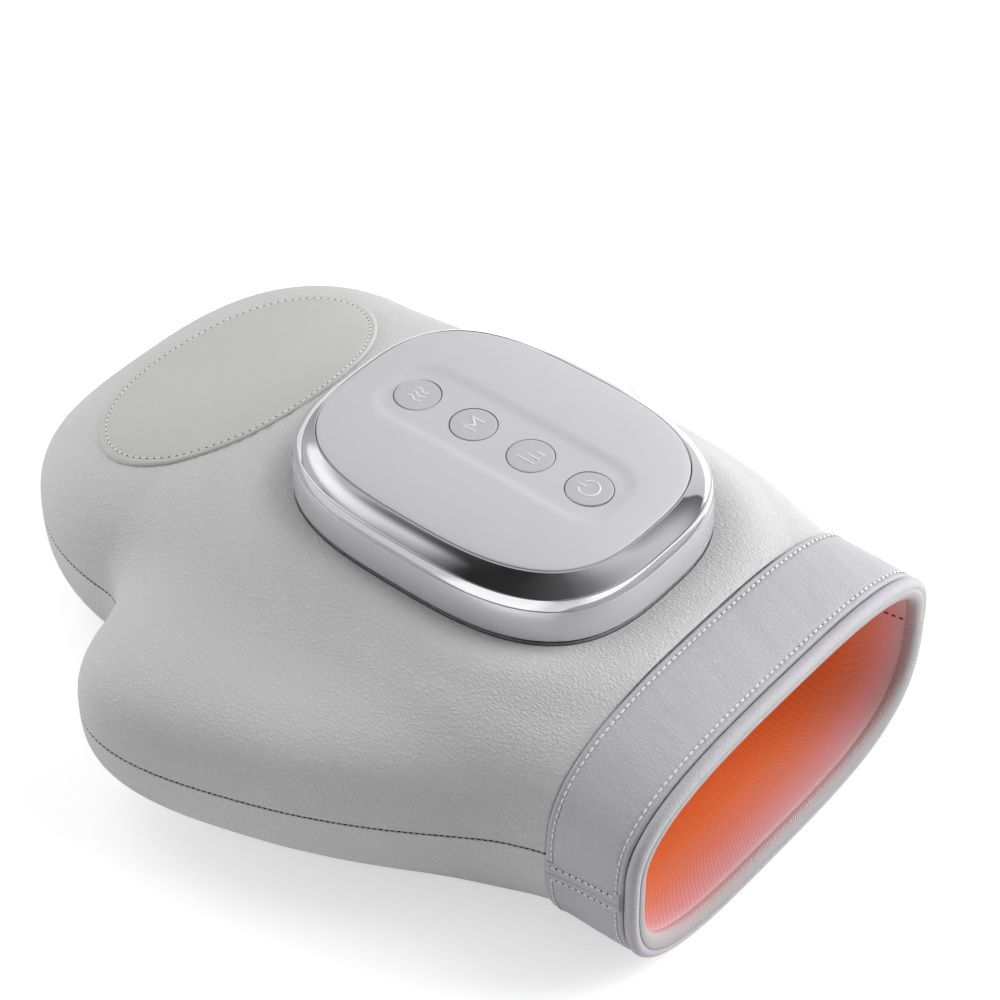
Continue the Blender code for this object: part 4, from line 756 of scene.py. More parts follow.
def leather_relief(points, side):
    """Height of the leather over its plain form at each place of a cover's grid."""
    arc = lengths(points, 1)
    seam = np.minimum(arc, arc[:, -1:] - arc)
    runs = [lengths(points[:, column])[:, None] for column in (0, -1)]
    run = np.where(arc < arc[:, -1:] / 2, *runs)
    x, y = points[..., 0], points[..., 1]
    relief = -roll(seam, SEAM_ROLL)
    relief += PUCKER_HEIGHT * np.cos(TURN * run / (3 * SEAM_PITCH)) * np.exp(-seam / (2 * MM))
    relief -= roll(WRIST_STATION - x, 0.8 * MM)
    relief += FAR_SWELL * np.exp(-((x - FAR_PLACE[0]) / FAR_SPAN) ** 2 - ((y - FAR_PLACE[1]) / FAR_SPAN) ** 2)
    crease = np.array([[noise.noise(Vector((p[1] * CREASE_RATE, p[2] * CREASE_RATE, p[0] * CREASE_SLOW)))
                        for p in row] for row in points])
    relief += CREASE_HEIGHT * crease * np.exp(-(WRIST_STATION - x) / CREASE_REACH)
    if side > 0:
        foot = (console_share(x, y) - 1) * CONSOLE_MEAN
        relief -= 0.4 * MM * bump_at(foot, 2.2 * MM)
        relief += 0.3 * MM * bump_at(foot - 8 * MM, 5 * MM)
        rim = (patch_share(x, y) - 1) * PATCH_MEAN
        relief -= 0.35 * MM * bump_at(rim - 0.6 * MM, 1.0 * MM)
    return relief


# %% [markdown]
# Each cover is a grid: rays give the sections, which are laid out again by length, with lines crowded at the
# seams, where the leather curves most. The part of the back cover that the console hides is left open.

# %% Cover shells
COVER_WALL = 2.6 * MM
EDGE_RUN = np.array([0, 0.25, 0.55, 0.9, 1.3, 1.8, 2.5, 3.5, 5.0]) * MM
SECTION_RAYS = 260
COVER_COLUMNS = 110
COVER_ROWS = 96
TIP_ROWS = 44
HIDDEN_SHARE = 0.72             # of the console's outline


def even_section(rays):
    """Each row of ray places, laid out again by length, closer together at both seams."""
    rows = []
    for row in rays:
        arc = lengths(row)
        total = arc[-1]
        edge = EDGE_RUN * min(1.0, total / (4 * EDGE_RUN[-1]))
        middle = np.linspace(edge[-1], total - edge[-1], COVER_COLUMNS)[1:-1]
        rows.append(at_lengths(row, arc, np.concatenate([edge, middle, (total - edge)[::-1]])))
    return np.array(rows)


def cover_stations():
    """Stations from the fingertips to the wrist, closer together at both ends."""
    turn = np.linspace(0, math.pi / 2, TIP_ROWS + 1)[1:]
    tip = -FINGER_STATION - (FINGER_REACH - FINGER_STATION) * np.cos(turn)
    body = np.linspace(-FINGER_STATION, WRIST_STATION - EDGE_RUN[-1], COVER_ROWS)[1:]
    return np.concatenate([tip, body, WRIST_STATION - EDGE_RUN[::-1][1:]])


def ray_angles(turn):
    """Directions of rays from a section's middle, spread like places round an ellipse."""
    return np.arctan2(SECTION[1] * np.sin(turn), SECTION[0] * np.cos(turn))


def with_tip(points, end):
    """A grid of sections with one more row, in which all places meet at the fingertips."""
    tip = np.array([end, float(through(end, LEANS)), float(through(end, SEAM_HEIGHTS))])
    return np.concatenate([np.broadcast_to(tip, (1, *points.shape[1:])), points])


def make_cover(name, side, material, node_name):
    angles = side * ray_angles(np.linspace(0, math.pi, SECTION_RAYS + 1))
    form = even_section(settle(surface(cover_stations()[:, None], angles[None, :])))
    points = form + outward(form, side) * leather_relief(form, side)[..., None]
    points[..., 2] = np.maximum(points[..., 2], 0)
    bm = drape(with_tip(points, -FINGER_REACH))
    if side > 0:
        hidden = [face for face in bm.faces
                  if console_share(*(face.calc_center_median() - SHIFT).xy) < HIDDEN_SHARE]
        bmesh.ops.delete(bm, geom=hidden, context="FACES")
    bmesh.ops.remove_doubles(bm, verts=bm.verts, dist=WELD)
    thicken(bm, COVER_WALL, side * UP)
    make_piece(name, bm, material, [node_name])


make_cover("back_cover", 1, cover_leather, "upper_cover")
make_cover("under_cover", -1, underside_leather_painted_lighter, "lower_cover")

# %% [markdown]
# The finger patch is an oval of softer leather sewn on the back of the fingers. A square grid bent into a
# disc has no pole in its middle, so the leather shades evenly. Its edge is turned under, and a row of light
# stitches runs just inside it in a shallow furrow.

# %% Finger patch
PATCH_WALL = 0.9 * MM
PATCH_LINES = 84
PATCH_STITCH_INSET = 1.9 * MM


def disc(lines):
    """A square grid bent into the unit disc, with its lines crowded towards the rim."""
    share = np.linspace(-1, 1, lines)
    share = np.sign(share) * (1 - (1 - np.abs(share)) ** 2.0)
    u, v = np.meshgrid(share, share)
    return u * np.sqrt(1 - v ** 2 / 2), v * np.sqrt(1 - u ** 2 / 2)


def patch_place(along, across, lift):
    """Places over the patch's plan, given in shares of its half sizes."""
    a, b = along * PATCH_HALF_LENGTH, across * PATCH_HALF_WIDTH
    x = PATCH_X + a * math.cos(PATCH_TURN) - b * math.sin(PATCH_TURN)
    y = PATCH_Y + a * math.sin(PATCH_TURN) + b * math.cos(PATCH_TURN)
    points = settle(np.stack([x, y, height_at(x, y)], axis=-1))
    points[..., 2] += lift
    return points


def patch_lift(inside):
    """Height of the patch over the cover at a distance inside its edge."""
    lift = PATCH_WALL - roll(inside, 1.0 * MM)
    return lift - 0.3 * MM * bump_at(inside - PATCH_STITCH_INSET, 0.55 * MM)


u, v = disc(PATCH_LINES)
inside = np.maximum(1 - np.sqrt(u ** 2 + v ** 2), 0) * PATCH_MEAN
bm = drape(patch_place(u, v, patch_lift(inside)))
thicken(bm, 0.6 * MM, UP)
make_piece("finger_patch_leather", bm, patch_leather, ["finger_patch"])

# %% [markdown]
# A stitch is a short round of thread, fat in the middle and sunk into the leather at both ends: a stretched
# sphere of a few dozen faces. One helper lays stitches along any line of places.

# %% Stitches
THREAD_RADIUS = 0.30 * MM
TOP_SHARE, TOP_RADIUS = 0.84, 0.34 * MM
# the dark marks between the stitches are painted shade of the needle holes: their share of the pitch and how
# deep they sink
HOLE_SHADE_SHARE, HOLE_SHADE_SINK = 0.30, 0.05 * MM
THREAD_WIDTH, THREAD_HEIGHT = 0.95, 0.8     # as shares of the radius


def sew(name, line, up, pitch, share, slot, material=None, radius=THREAD_RADIUS, start=0.5):
    """Stitches along a line of places. up holds the direction out of the leather at each place."""
    line, up = np.asarray(line), np.asarray(up)
    arc = lengths(line)
    count = max(2, round(arc[-1] / pitch))
    pitch = arc[-1] / count
    bm = bmesh.new()
    for number in range(count):
        at = (number + start) * pitch
        ends = [Vector(at_lengths(line, arc, at + half_way))
                for half_way in (-pitch * share / 2, pitch * share / 2)]
        out = Vector(at_lengths(up, arc, at)).normalized()
        forward = (ends[1] - ends[0]).normalized()
        out = (out - forward * out.dot(forward)).normalized()
        turn = Matrix((forward, out.cross(forward), out)).transposed().to_4x4()
        half = (ends[1] - ends[0]).length / 2
        stretch = Matrix.Diagonal((half, radius * THREAD_WIDTH, radius * THREAD_HEIGHT, 1))
        bmesh.ops.create_uvsphere(bm, u_segments=10, v_segments=6, radius=1.0,
                                  matrix=Matrix.Translation((ends[0] + ends[1]) / 2 + SHIFT) @ turn
                                  @ stretch @ Matrix.Rotation(math.pi / 2, 4, "Y"))
    make_piece(name, bm, material or thread)


def top_stitch(name, line, up, pitch, slot, radius=TOP_RADIUS):
    """A row of light stitches, with dark sunk marks between them: painted shade of the needle holes."""
    sew(name, line, up, pitch, TOP_SHARE, slot, radius=radius)
    up = np.asarray(up)
    sew(f"{name}_painted_hole_shade", np.asarray(line) - HOLE_SHADE_SINK * up, up, pitch, HOLE_SHADE_SHARE, slot, painted_hole_shade,
        radius * 0.9, start=0.0)


turn = np.linspace(0, TURN, 400)
inner = 1 - PATCH_STITCH_INSET / PATCH_MEAN
furrow = patch_place(inner * np.cos(turn), inner * np.sin(turn), patch_lift(PATCH_STITCH_INSET) + 0.12 * MM)
top_stitch("patch_stitches", furrow, np.tile((0, 0, 1.0), (400, 1)), 2.35 * MM, "patch_leather",
           radius=0.27 * MM)

# %% [markdown]
# The waist seam is sewn in a dark thread that lies a little below the leather, so it reads as a fine dashed
# line in the groove between the covers. Its near black tone is partly painted shade of the groove.

# %% Waist seam
WAIST_PLACES = 700
WAIST_SINK = 0.20 * MM


def waist_line():
    """The seam between the covers, from the wrist round the fingertips and back, and the way out of it."""
    ease_in = np.sin(np.linspace(0, math.pi / 2, WAIST_PLACES)) ** 0.8
    x = -FINGER_REACH + 0.01 * MM + (WRIST_STATION + FINGER_REACH) * (1 - np.sqrt(1 - ease_in ** 2))
    x = np.minimum(np.sort(x), WRIST_STATION)
    near = surface(x[::-1], np.full(len(x), math.pi))
    far = surface(x, np.zeros(len(x)))
    line = np.concatenate([near, far])
    way = np.gradient(line, axis=0)
    out = np.stack([way[:, 1], -way[:, 0], np.zeros(len(line))], axis=-1)
    out /= np.maximum(np.linalg.norm(out, axis=-1, keepdims=True), TINY)
    out *= np.sign(np.sum(out * (line - line.mean(axis=0)), axis=-1, keepdims=True).mean())
    return line - out * WAIST_SINK, out


sew("waist_seam_stitches", *waist_line(), SEAM_PITCH, 0.66, "cover_leather", seam_thread_and_groove_shade, radius=0.27 * MM)

# %% [markdown]
# The cuff is a stiff band round the wrist opening, a rolled lip in front of it and a knit facing inside.
# Each is a closed profile carried round the opening. The profile is a list of depths below the mitt's
# surface and stations along it, and its corners are rounded.

# %% Cuff sections
CUFF_STEPS = 720
BAND_START, BAND_END = WRIST_STATION + 0.3 * MM, MOUTH_STATION


def all_round(inset):
    """The same inset at the sides, top and bottom of the palm and the thumb."""
    return (inset, inset, inset, 0, inset, inset, inset)


def cuff_ring(x, inset):
    """A closed ring of places round the opening at a station, drawn in by the inset."""
    angle = ray_angles(np.linspace(0, TURN, CUFF_STEPS + 1))
    ring = surface(np.full(CUFF_STEPS + 1, float(x)), angle, all_round(inset))
    arc = lengths(ring)
    return at_lengths(ring, arc, np.linspace(0, arc[-1], CUFF_STEPS + 1))


def ring_normals(ring):
    """Directions out of a ring, at right angles to the mitt's length."""
    normal = np.cross(np.gradient(ring, axis=0), (1.0, 0, 0))
    return normal / np.linalg.norm(normal, axis=-1, keepdims=True)


def arc_points(centre, radius, start, stop, count):
    """Points of an arc in a profile, as (inset, place); angles in degrees from the outward direction."""
    turns = np.radians(np.linspace(start, stop, count))
    return [(centre[0] - radius * math.cos(t), centre[1] + radius * math.sin(t)) for t in turns]


def in_mm(start, pairs):
    """Profile points given in millimetres: insets, and stations from a start."""
    return [(inset * MM, start + along * MM) for inset, along in pairs]


def make_hoop(name, profile, material, replaces=(), relief=None):
    """A closed profile carried round the opening. relief(k, arc) gives extra height at profile point k."""
    rings = []
    for k, (inset, x) in enumerate(list(profile) + [profile[0]]):
        ring = cuff_ring(x, inset)
        if relief is not None:
            arc = np.linspace(0, 1, len(ring)) * np.sum(np.linalg.norm(np.diff(ring, axis=0), axis=-1))
            ring = ring + ring_normals(ring) * relief(k % len(profile), arc)[:, None]
        rings.append(ring)
    make_piece(name, drape(np.array(rings), wrap=True), material, replaces)


# %% Cuff band
BAND_PROUD = 1.3 * MM
BAND_EDGE = 0.9 * MM
BAND_CROWN = 0.35 * MM
CREASE_LIFT = 0.16 * MM
BAND_STITCH_INSET = 2.1 * MM
STITCH_PITCH = 2.35 * MM
STITCH_STATIONS = (BAND_START + BAND_STITCH_INSET, BAND_END - BAND_STITCH_INSET)

band_top = [(-BAND_PROUD, x) for x in np.linspace(BAND_START + BAND_EDGE, BAND_END - BAND_EDGE, 46)]
band_profile = (arc_points((BAND_EDGE - BAND_PROUD, BAND_START + BAND_EDGE), BAND_EDGE, -90, -10, 6)
                + band_top + arc_points((BAND_EDGE - BAND_PROUD, BAND_END - BAND_EDGE), BAND_EDGE, 10, 90, 6)
                + [(1.8 * MM, BAND_END), (1.8 * MM, BAND_START)])


def band_relief(k, arc):
    """Crown of the band, furrows under both rows of stitches, and shallow creases between them."""
    inset, x = band_profile[k]
    if inset > 0:
        return np.zeros(len(arc))
    share = (x - BAND_START) / (BAND_END - BAND_START)
    height = np.full(len(arc), BAND_CROWN * math.sin(math.pi * min(max(share, 0), 1)))
    for edge in STITCH_STATIONS:
        near = math.exp(-((x - edge) / (0.7 * MM)) ** 2)
        height -= near * (0.34 * MM + 0.10 * MM * np.cos(TURN * arc / STITCH_PITCH))
    waves = np.array([noise.noise(Vector((a * 110, x * 60, 3.1)))
                      + 0.5 * noise.noise(Vector((a * 300, x * 90, 8.0))) for a in arc])
    closed = ease(np.minimum(arc, arc[-1] - arc) / (8 * MM))
    return height + CREASE_LIFT * waves * closed


make_hoop("cuff_band_leather", band_profile, cuff_leather, ["cuff_band"], band_relief)

# %% Cuff lip
LIP_START, LIP_END = MOUTH_STATION + 0.3 * MM, MOUTH_STATION + 4.4 * MM

lip_profile = (in_mm(LIP_START, [(1.2, 0), (-0.2, 0)])
               + arc_points((0.5 * MM, LIP_START + 1.9 * MM), 2.1 * MM, -60, 85, 16)
               + in_mm(LIP_END, [(1.6, -0.35), (2.6, -0.7), (2.7, -1.6)]) + in_mm(LIP_START, [(2.0, 0)]))
make_hoop("cuff_lip_leather", lip_profile, cuff_leather, ["cuff_lip"])

# %% [markdown]
# A knit facing is folded over the lip's inner half and runs back to the lining. It is grey in front and takes
# the lining's painted warm colour and glow towards its hem, so no edge shows inside the pocket.

# %% Facing
facing_profile = (in_mm(LIP_END, [(1.2, -0.30), (1.6, -0.05), (2.4, -0.02), (3.4, -0.20), (4.3, -0.70),
                                  (4.9, -1.5), (5.1, -2.6), (4.9, -3.8)])
                  + in_mm(MOUTH_STATION, [(4.3, -0.4), (3.4, -0.4)])
                  + in_mm(LIP_END, [(3.4, -2.0), (1.6, -0.7)]))
make_hoop("mouth_facing_knit", facing_profile, facing_knit, ["mouth_facing"])

# %% [markdown]
# Where the band meets the cover, its edge is turned in behind it. This fills the narrow gap, so that no light
# from the pocket shows there.

# %% Turned edge
filler_profile = (in_mm(BAND_START, [(0.90, -0.02)])
                  + in_mm(WRIST_STATION, [(0.85, 0.05), (0.55, -0.9), (1.2, -2.6), (3.0, -2.6)])
                  + in_mm(BAND_START, [(3.0, -0.02)]))
make_hoop("cuff_turned_edge", filler_profile, cuff_leather)

# %% Cuff stitches
for name, x in zip(("rear_cuff_stitches", "front_cuff_stitches"), STITCH_STATIONS):
    ring = cuff_ring(x, -(BAND_PROUD + 0.05 * MM))
    top_stitch(name, ring, ring_normals(ring), STITCH_PITCH, "cuff_leather")

# %% [markdown]
# The band's ends meet on the thumb side under a short closing strip, which is folded once and held by a row
# of stitches along each edge.

# %% Closing strip
STRIP_ANGLE = math.radians(183.5)
STRIP_HALF = math.radians(3.0)
STRIP_ROW = 0.66                # where the rows of stitches run, as a share of the half width
STRIP_GRID = (40, 41)
FURROW_SPAN = 0.12


def strip_places(x, turn, proud):
    """Places on the strip: stations, shares of its half width and heights over the mitt."""
    return surface(x, STRIP_ANGLE + STRIP_HALF * turn, all_round(-proud))


def strip_points(lift):
    x = np.linspace(BAND_START + 0.6 * MM, BAND_END - 0.3 * MM, STRIP_GRID[0])[:, None]
    turn = np.linspace(-1, 1, STRIP_GRID[1])[None, :]
    proud = (BAND_PROUD + lift * (1 - np.abs(turn) ** 6) - 0.55 * MM * bump_at(turn - 0.1, FURROW_SPAN)
             - 0.25 * MM * (bump_at(turn - STRIP_ROW, FURROW_SPAN) + bump_at(turn + STRIP_ROW, FURROW_SPAN)))
    return strip_places(x, turn, np.broadcast_to(proud, STRIP_GRID))


bm = drape(strip_points(0.9 * MM))
thicken(bm, 0.8 * MM, Vector((0, -1, 0)))
make_piece("closing_strip_leather", bm, cuff_leather, ["cuff_closing_strip"])
for name, share in (("closing_stitches_upper", -STRIP_ROW), ("closing_stitches_lower", STRIP_ROW)):
    x = np.linspace(*STITCH_STATIONS, 60)
    line = strip_places(x, np.full(60, share), np.full(60, BAND_PROUD + 0.75 * MM))
    top_stitch(name, line, np.tile((0, -1.0, 0), (60, 1)), STITCH_PITCH, "cuff_leather")

# %% [markdown]
# The pocket's lining is one bag of fine mesh cloth, with a dark seam along each side. It lies a little inside
# the solids of the pocket and takes the finish with the painted glow from above.

# %% Lining cloth
POCKET = {"side": 0.0240, "top": 0.0266, "bottom": 0.0180, "end": 0.0200, "thumb_top": 0.0120,
          "thumb_bottom": 0.0140}
POCKET_MOUTH = 0.0048
FLARE_START = 0.0250
LINING_END = 0.0950
LINING_HEM = 0.1024             # the cloth runs on to here under the facing


def pocket_inset(x):
    """Insets of the cloth at a station: deep at the hand, shallow at the mouth."""
    deep = ease((LINING_END - x) / (LINING_END - FLARE_START))
    side, top, bottom, thumb_top, thumb_bottom = (
        POCKET_MOUTH + (POCKET[key] - POCKET_MOUTH) * deep
        for key in ("side", "top", "bottom", "thumb_top", "thumb_bottom"))
    return (side, top, bottom, POCKET["end"], side, thumb_top, thumb_bottom)


def make_lining():
    """One bag of cloth from the fingertips to the mouth, its right side towards the hand."""
    turn = np.linspace(0, math.pi / 2, 31)[1:]
    tip = -FINGER_STATION - (FINGER_REACH - FINGER_STATION - POCKET["end"]) * np.cos(turn)
    stations = np.concatenate([tip, np.linspace(-FINGER_STATION, LINING_HEM, 86)[1:]])[:, None]
    half = ray_angles(np.linspace(0, math.pi, 97))
    angles = np.concatenate([half, half[1:] + math.pi])
    points = surface(stations, angles[None, :], pocket_inset(stations))
    bm = drape(with_tip(points, -FINGER_REACH + POCKET["end"]), wrap=True)
    thicken(bm, 0.8 * MM, UP, look=-1)
    make_piece("pocket_lining", bm, lining_cloth, ["lining_upper", "lining_lower"])


make_lining()
for name, angle in (("lining_seam_stitches_far", 0.0), ("lining_seam_stitches_near", math.pi)):
    x = np.linspace(0.045, LINING_HEM - 0.6 * MM, 80)
    line = surface(x, np.full(80, angle), tuple(value + 0.25 * MM for value in pocket_inset(x)))
    sew(name, line, np.tile((0, -math.cos(angle), 0), (80, 1)), 2.6 * MM, 0.62, "lining_cloth", dark_thread)

# %% [markdown]
# The console's rigid shells are turned into smooth ones: each is a rounded rectangle drawn as one ring of
# vertices, which is extruded step by step along a profile. The outline has many more points than the solid
# under it, so the chrome reflects in one clean sweep.

# %% Console outline
OUTLINE_STEPS = 288
PORT_BULGE, PORT_X, PORT_HALF, PORT_FLANK = 0.0028, -0.0020, 0.0110, 0.0080
(BASE_LOW, BASE_HIGH), (TRIM_LOW, TRIM_HIGH) = (
    (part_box(name)[0][2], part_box(name)[1][2]) for name in ("base_housing", "chrome_trim"))
PANEL_EDGE = TRIM_HIGH + 0.3 * MM
EDGE = 0.35 * MM


def outline_place(number, inset, z, swollen):
    """Place number of the console's outline, drawn in by the inset, swollen at the charging port if asked."""
    angle = TURN * (number + 0.5) / OUTLINE_STEPS
    c, s = math.cos(angle), math.sin(angle)
    x = (CONSOLE_HALF_LENGTH - inset) * math.copysign(abs(c) ** (2 / CONSOLE_POWER), c)
    y = (CONSOLE_HALF_WIDTH - inset) * math.copysign(abs(s) ** (2 / CONSOLE_POWER), s)
    if y > 0:
        y += swollen * PORT_BULGE * float(ease((PORT_HALF + PORT_FLANK - abs(x - PORT_X)) / PORT_FLANK))
    return Vector((x, y, z)) + SHIFT


def next_ring(bm, edges, kept):
    """Extrude a ring once. Each new vertex takes over what is kept for the one below it."""
    made = bmesh.ops.extrude_edge_only(bm, edges=edges)["geom"]
    fresh = {}
    for vert in (item for item in made if isinstance(item, bmesh.types.BMVert)):
        old = next(edge.other_vert(vert) for edge in vert.link_edges if edge.other_vert(vert) in kept)
        fresh[vert] = kept[old]
    return [item for item in made if isinstance(item, bmesh.types.BMEdge)], fresh


def sweep(profile, closed=True):
    """Extrude one ring of the outline through (inset, height, swollen) steps."""
    bm = bmesh.new()
    bmesh.ops.create_circle(bm, segments=OUTLINE_STEPS, radius=1.0)
    order = {vert: number for number, vert in enumerate(bm.verts)}
    first_edges = edges = list(bm.edges)
    for step in profile:
        if step is not profile[0]:
            edges, order = next_ring(bm, edges, order)
        for vert, number in order.items():
            vert.co = outline_place(number, *step)
    if closed:
        bmesh.ops.bridge_loops(bm, edges=edges + first_edges)
    return bm


def corner(inset, z, radius, start, stop, swollen=1.0, count=6):
    """An arc of a profile about (inset, z); angle 0 points out, 90 points up."""
    return [(*place, swollen) for place in arc_points((inset, z), radius, start, stop, count)]


def inner_steps(start, pairs):
    """Steps inside the housing, in millimetres: insets, and heights from a start."""
    return [(*place, 0.0) for place in in_mm(start, pairs)]


# %% Base housing
base_profile = (inner_steps(BASE_LOW, [(11, 0)]) + corner(EDGE, BASE_LOW + EDGE, EDGE, -90, 0)
                + corner(EDGE + 0.4 * MM, BASE_HIGH - EDGE, EDGE, 0, 90)
                + inner_steps(BASE_HIGH, [(8.8, 0), (8.8, -1.6), (2.6, -1.6)])
                + inner_steps(BASE_LOW, [(2.2, 2.3), (11, 2.3)]))
base = make_piece("base_housing_shell", sweep(base_profile), gloss_grey, ["base_housing"])

# %% [markdown]
# A thin dark bead runs round the housing's foot on the leather: painted shade that draws the shadow line
# where the housing meets it.

# %% Foot bead of the housing, a painted shadow line
FOOT_SHADE_RADIUS = 0.20 * MM
foot_shade_profile = corner(FOOT_SHADE_RADIUS, CONSOLE_SEAT - 0.30 * MM, FOOT_SHADE_RADIUS, -180, 150, count=12)
# the dark bead is painted shade at the housing's foot
make_piece("console_foot_shade_bead", sweep(foot_shade_profile), painted_gap_shade)

# %% [markdown]
# The trim is a pressed metal ring: an upright band below and a bowed shoulder above it. The bow spreads the
# mirrored cards into soft bands, which a flat slope would show as hard ones.

# %% Chrome trim
SLOPE_BOW = 0.35 * MM
BAND_TOP, BAND_LEAN = 3.4 * MM, 1.0 * MM
TRIM_INNER = 6.6 * MM
SLOPE_START, SLOPE_END = (1.5 * MM, TRIM_LOW + BAND_TOP), (TRIM_INNER, TRIM_HIGH)


def slope(count):
    """The trim's shoulder: a bowed line from the band to the panel."""
    steps = []
    for share in np.linspace(0, 1, count):
        inset, z = (first + (last - first) * share for first, last in zip(SLOPE_START, SLOPE_END))
        bow = SLOPE_BOW * math.sin(math.pi * share)
        steps.append((inset - bow, z + bow, 1.0 - share))
    return steps


trim_profile = (corner(0.55 * MM, TRIM_LOW, 0.15 * MM, -90, 15, count=4)
                + corner(0.4 * MM + BAND_LEAN, TRIM_LOW + BAND_TOP - 0.25 * MM, 0.25 * MM, 16, 60, count=4)
                + slope(18) + [(TRIM_INNER, TRIM_LOW, 0.0)])
make_piece("chrome_trim_shell", sweep(trim_profile), chrome, ["chrome_trim"])

# %% [markdown]
# The top panel is a low dome with a shallow channel for the buttons. Rings of the outline shrink towards the
# middle and take their height from the dome and the channel, and the four button holes are cut through it
# with a boolean modifier, which is exact where a round hole meets the grid.

# %% Top panel
PANEL_INSET = 6.9 * MM
PANEL_WALL = 2.0 * MM
PANEL_CROWN = 2.6 * MM
CHANNEL = {"depth": 0.8 * MM, "half_width": 10.5 * MM, "half_length": 43.0 * MM, "flank": 4.5 * MM}
CHANNEL_FLAT = 0.3              # the share of the channel's half width that is straight at its ends
PANEL_SHARES = np.concatenate([np.linspace(0.985, 0.06, 44), [0.02]])
BUTTON_NAMES = ("heat", "mode", "pressure", "power")
BUTTON_RADIUS = 7.0 * MM
HOLE_RADIUS = BUTTON_RADIUS + 0.28 * MM
ROUND_STEPS = 96                # faces round a button, its hole and its ring of painted gap shade
BUTTON_PLACES = [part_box(f"{name}_button") for name in BUTTON_NAMES]
BUTTON_X = [(low[0] + high[0]) / 2 - SHIFT.x for low, high in BUTTON_PLACES]
BUTTON_MIDDLE = sum(BUTTON_X) / len(BUTTON_X)


def panel_height(x, y):
    crown = PANEL_CROWN * (1 - min(console_share(x, y, PANEL_INSET), 1) ** 4)
    past_end = max(abs(x - BUTTON_MIDDLE) - CHANNEL["half_length"] + CHANNEL["half_width"], 0)
    past_side = max(abs(y) - CHANNEL_FLAT * CHANNEL["half_width"], 0)
    from_side = math.hypot(past_end, past_side) - (1 - CHANNEL_FLAT) * CHANNEL["half_width"]
    from_side = max(from_side, abs(y) - CHANNEL["half_width"])
    sunk = float(ease(1 - max(from_side, 0) / CHANNEL["flank"]))
    return PANEL_EDGE + crown - CHANNEL["depth"] * sunk


def over_panel(x, lift=0.0):
    """A matrix that moves a shape to a button's place on the panel."""
    return Matrix.Translation(Vector((x, 0, panel_height(x, 0) + lift)) + SHIFT)


def cut(piece, shapes):
    """Cut bmeshes out of a piece and bake the result into its mesh."""
    cutters = [add_object("cutter", shape) for shape in shapes]
    for cutter in cutters:
        step = piece.modifiers.new("cut", "BOOLEAN")
        step.operation = "DIFFERENCE"
        step.solver = "EXACT"
        step.object = cutter
    bpy.context.view_layer.update()
    graph = bpy.context.evaluated_depsgraph_get()
    old = piece.data
    mesh = bpy.data.meshes.new_from_object(piece.evaluated_get(graph))
    piece.modifiers.clear()
    piece.data = mesh
    bpy.data.meshes.remove(old)
    for cutter in cutters:
        bpy.data.objects.remove(cutter)


def button_hole(x):
    bm = bmesh.new()
    bmesh.ops.create_cone(bm, cap_ends=True, segments=ROUND_STEPS, radius1=HOLE_RADIUS, radius2=HOLE_RADIUS,
                          depth=0.02, matrix=over_panel(x))
    return bm


def make_panel():
    inner = PANEL_INSET + PANEL_WALL
    profile = ([(inner, PANEL_EDGE - PANEL_WALL, 0.0), (inner, TRIM_LOW, 0.0),
                (PANEL_INSET + 0.2 * MM, TRIM_LOW, 0.0)]
               + corner(PANEL_INSET + 0.5 * MM, PANEL_EDGE - 0.5 * MM, 0.5 * MM, 0, 80, 0.0))
    bm = sweep(profile, closed=False)
    rim = [edge for edge in bm.edges if edge.is_boundary and edge.verts[0].co.z > PANEL_EDGE - 0.1 * MM]
    plan = {vert: vert.co.xy - SHIFT.xy for edge in rim for vert in edge.verts}
    for share in PANEL_SHARES:
        rim, plan = next_ring(bm, rim, plan)
        for vert, flat in plan.items():
            x, y = flat.x * share, flat.y * share
            vert.co = Vector((x, y, panel_height(x, y))) + SHIFT
    bmesh.ops.contextual_create(bm, geom=rim)
    panel = make_piece("top_panel_shell", bm, panel_satin, ["top_panel"])
    cut(panel, [button_hole(x) for x in BUTTON_X])
    panel.data.shade_smooth()
    panel.data.set_sharp_from_angle(angle=math.radians(40))
    print("panel after its painted_hole_shade:", len(panel.data.polygons), "faces")


make_panel()

# %% [markdown]
# A dark ring lies in the gap round each button, a little below the panel's surface: painted shade that
# darkens the gap. It is a circle that is extruded and drawn in.

# %% Painted shade in the button gaps
GAP_SHADE_OUTER, GAP_SHADE_INNER, GAP_SHADE_DEPTH = BUTTON_RADIUS + 0.27 * MM, BUTTON_RADIUS + 0.05 * MM, 0.30 * MM
bm = bmesh.new()
for x in BUTTON_X:
    place = over_panel(x, -GAP_SHADE_DEPTH)
    ring = bmesh.ops.create_circle(bm, segments=ROUND_STEPS, radius=GAP_SHADE_OUTER, matrix=place)["verts"]
    edges = list({edge for vert in ring for edge in vert.link_edges})
    _, inner_ring = next_ring(bm, edges, dict.fromkeys(ring))
    bmesh.ops.scale(bm, verts=list(inner_ring), vec=(GAP_SHADE_INNER / GAP_SHADE_OUTER, GAP_SHADE_INNER / GAP_SHADE_OUTER, 1),
                    space=place.inverted())
thicken(bm, 0.3 * MM, UP)
make_piece("button_gap_shade", bm, painted_gap_shade)

# %% [markdown]
# The charging socket sits behind a slot with round ends in the housing's far side. The cutter is a box whose
# upright edges are bevelled until they are nearly half round.

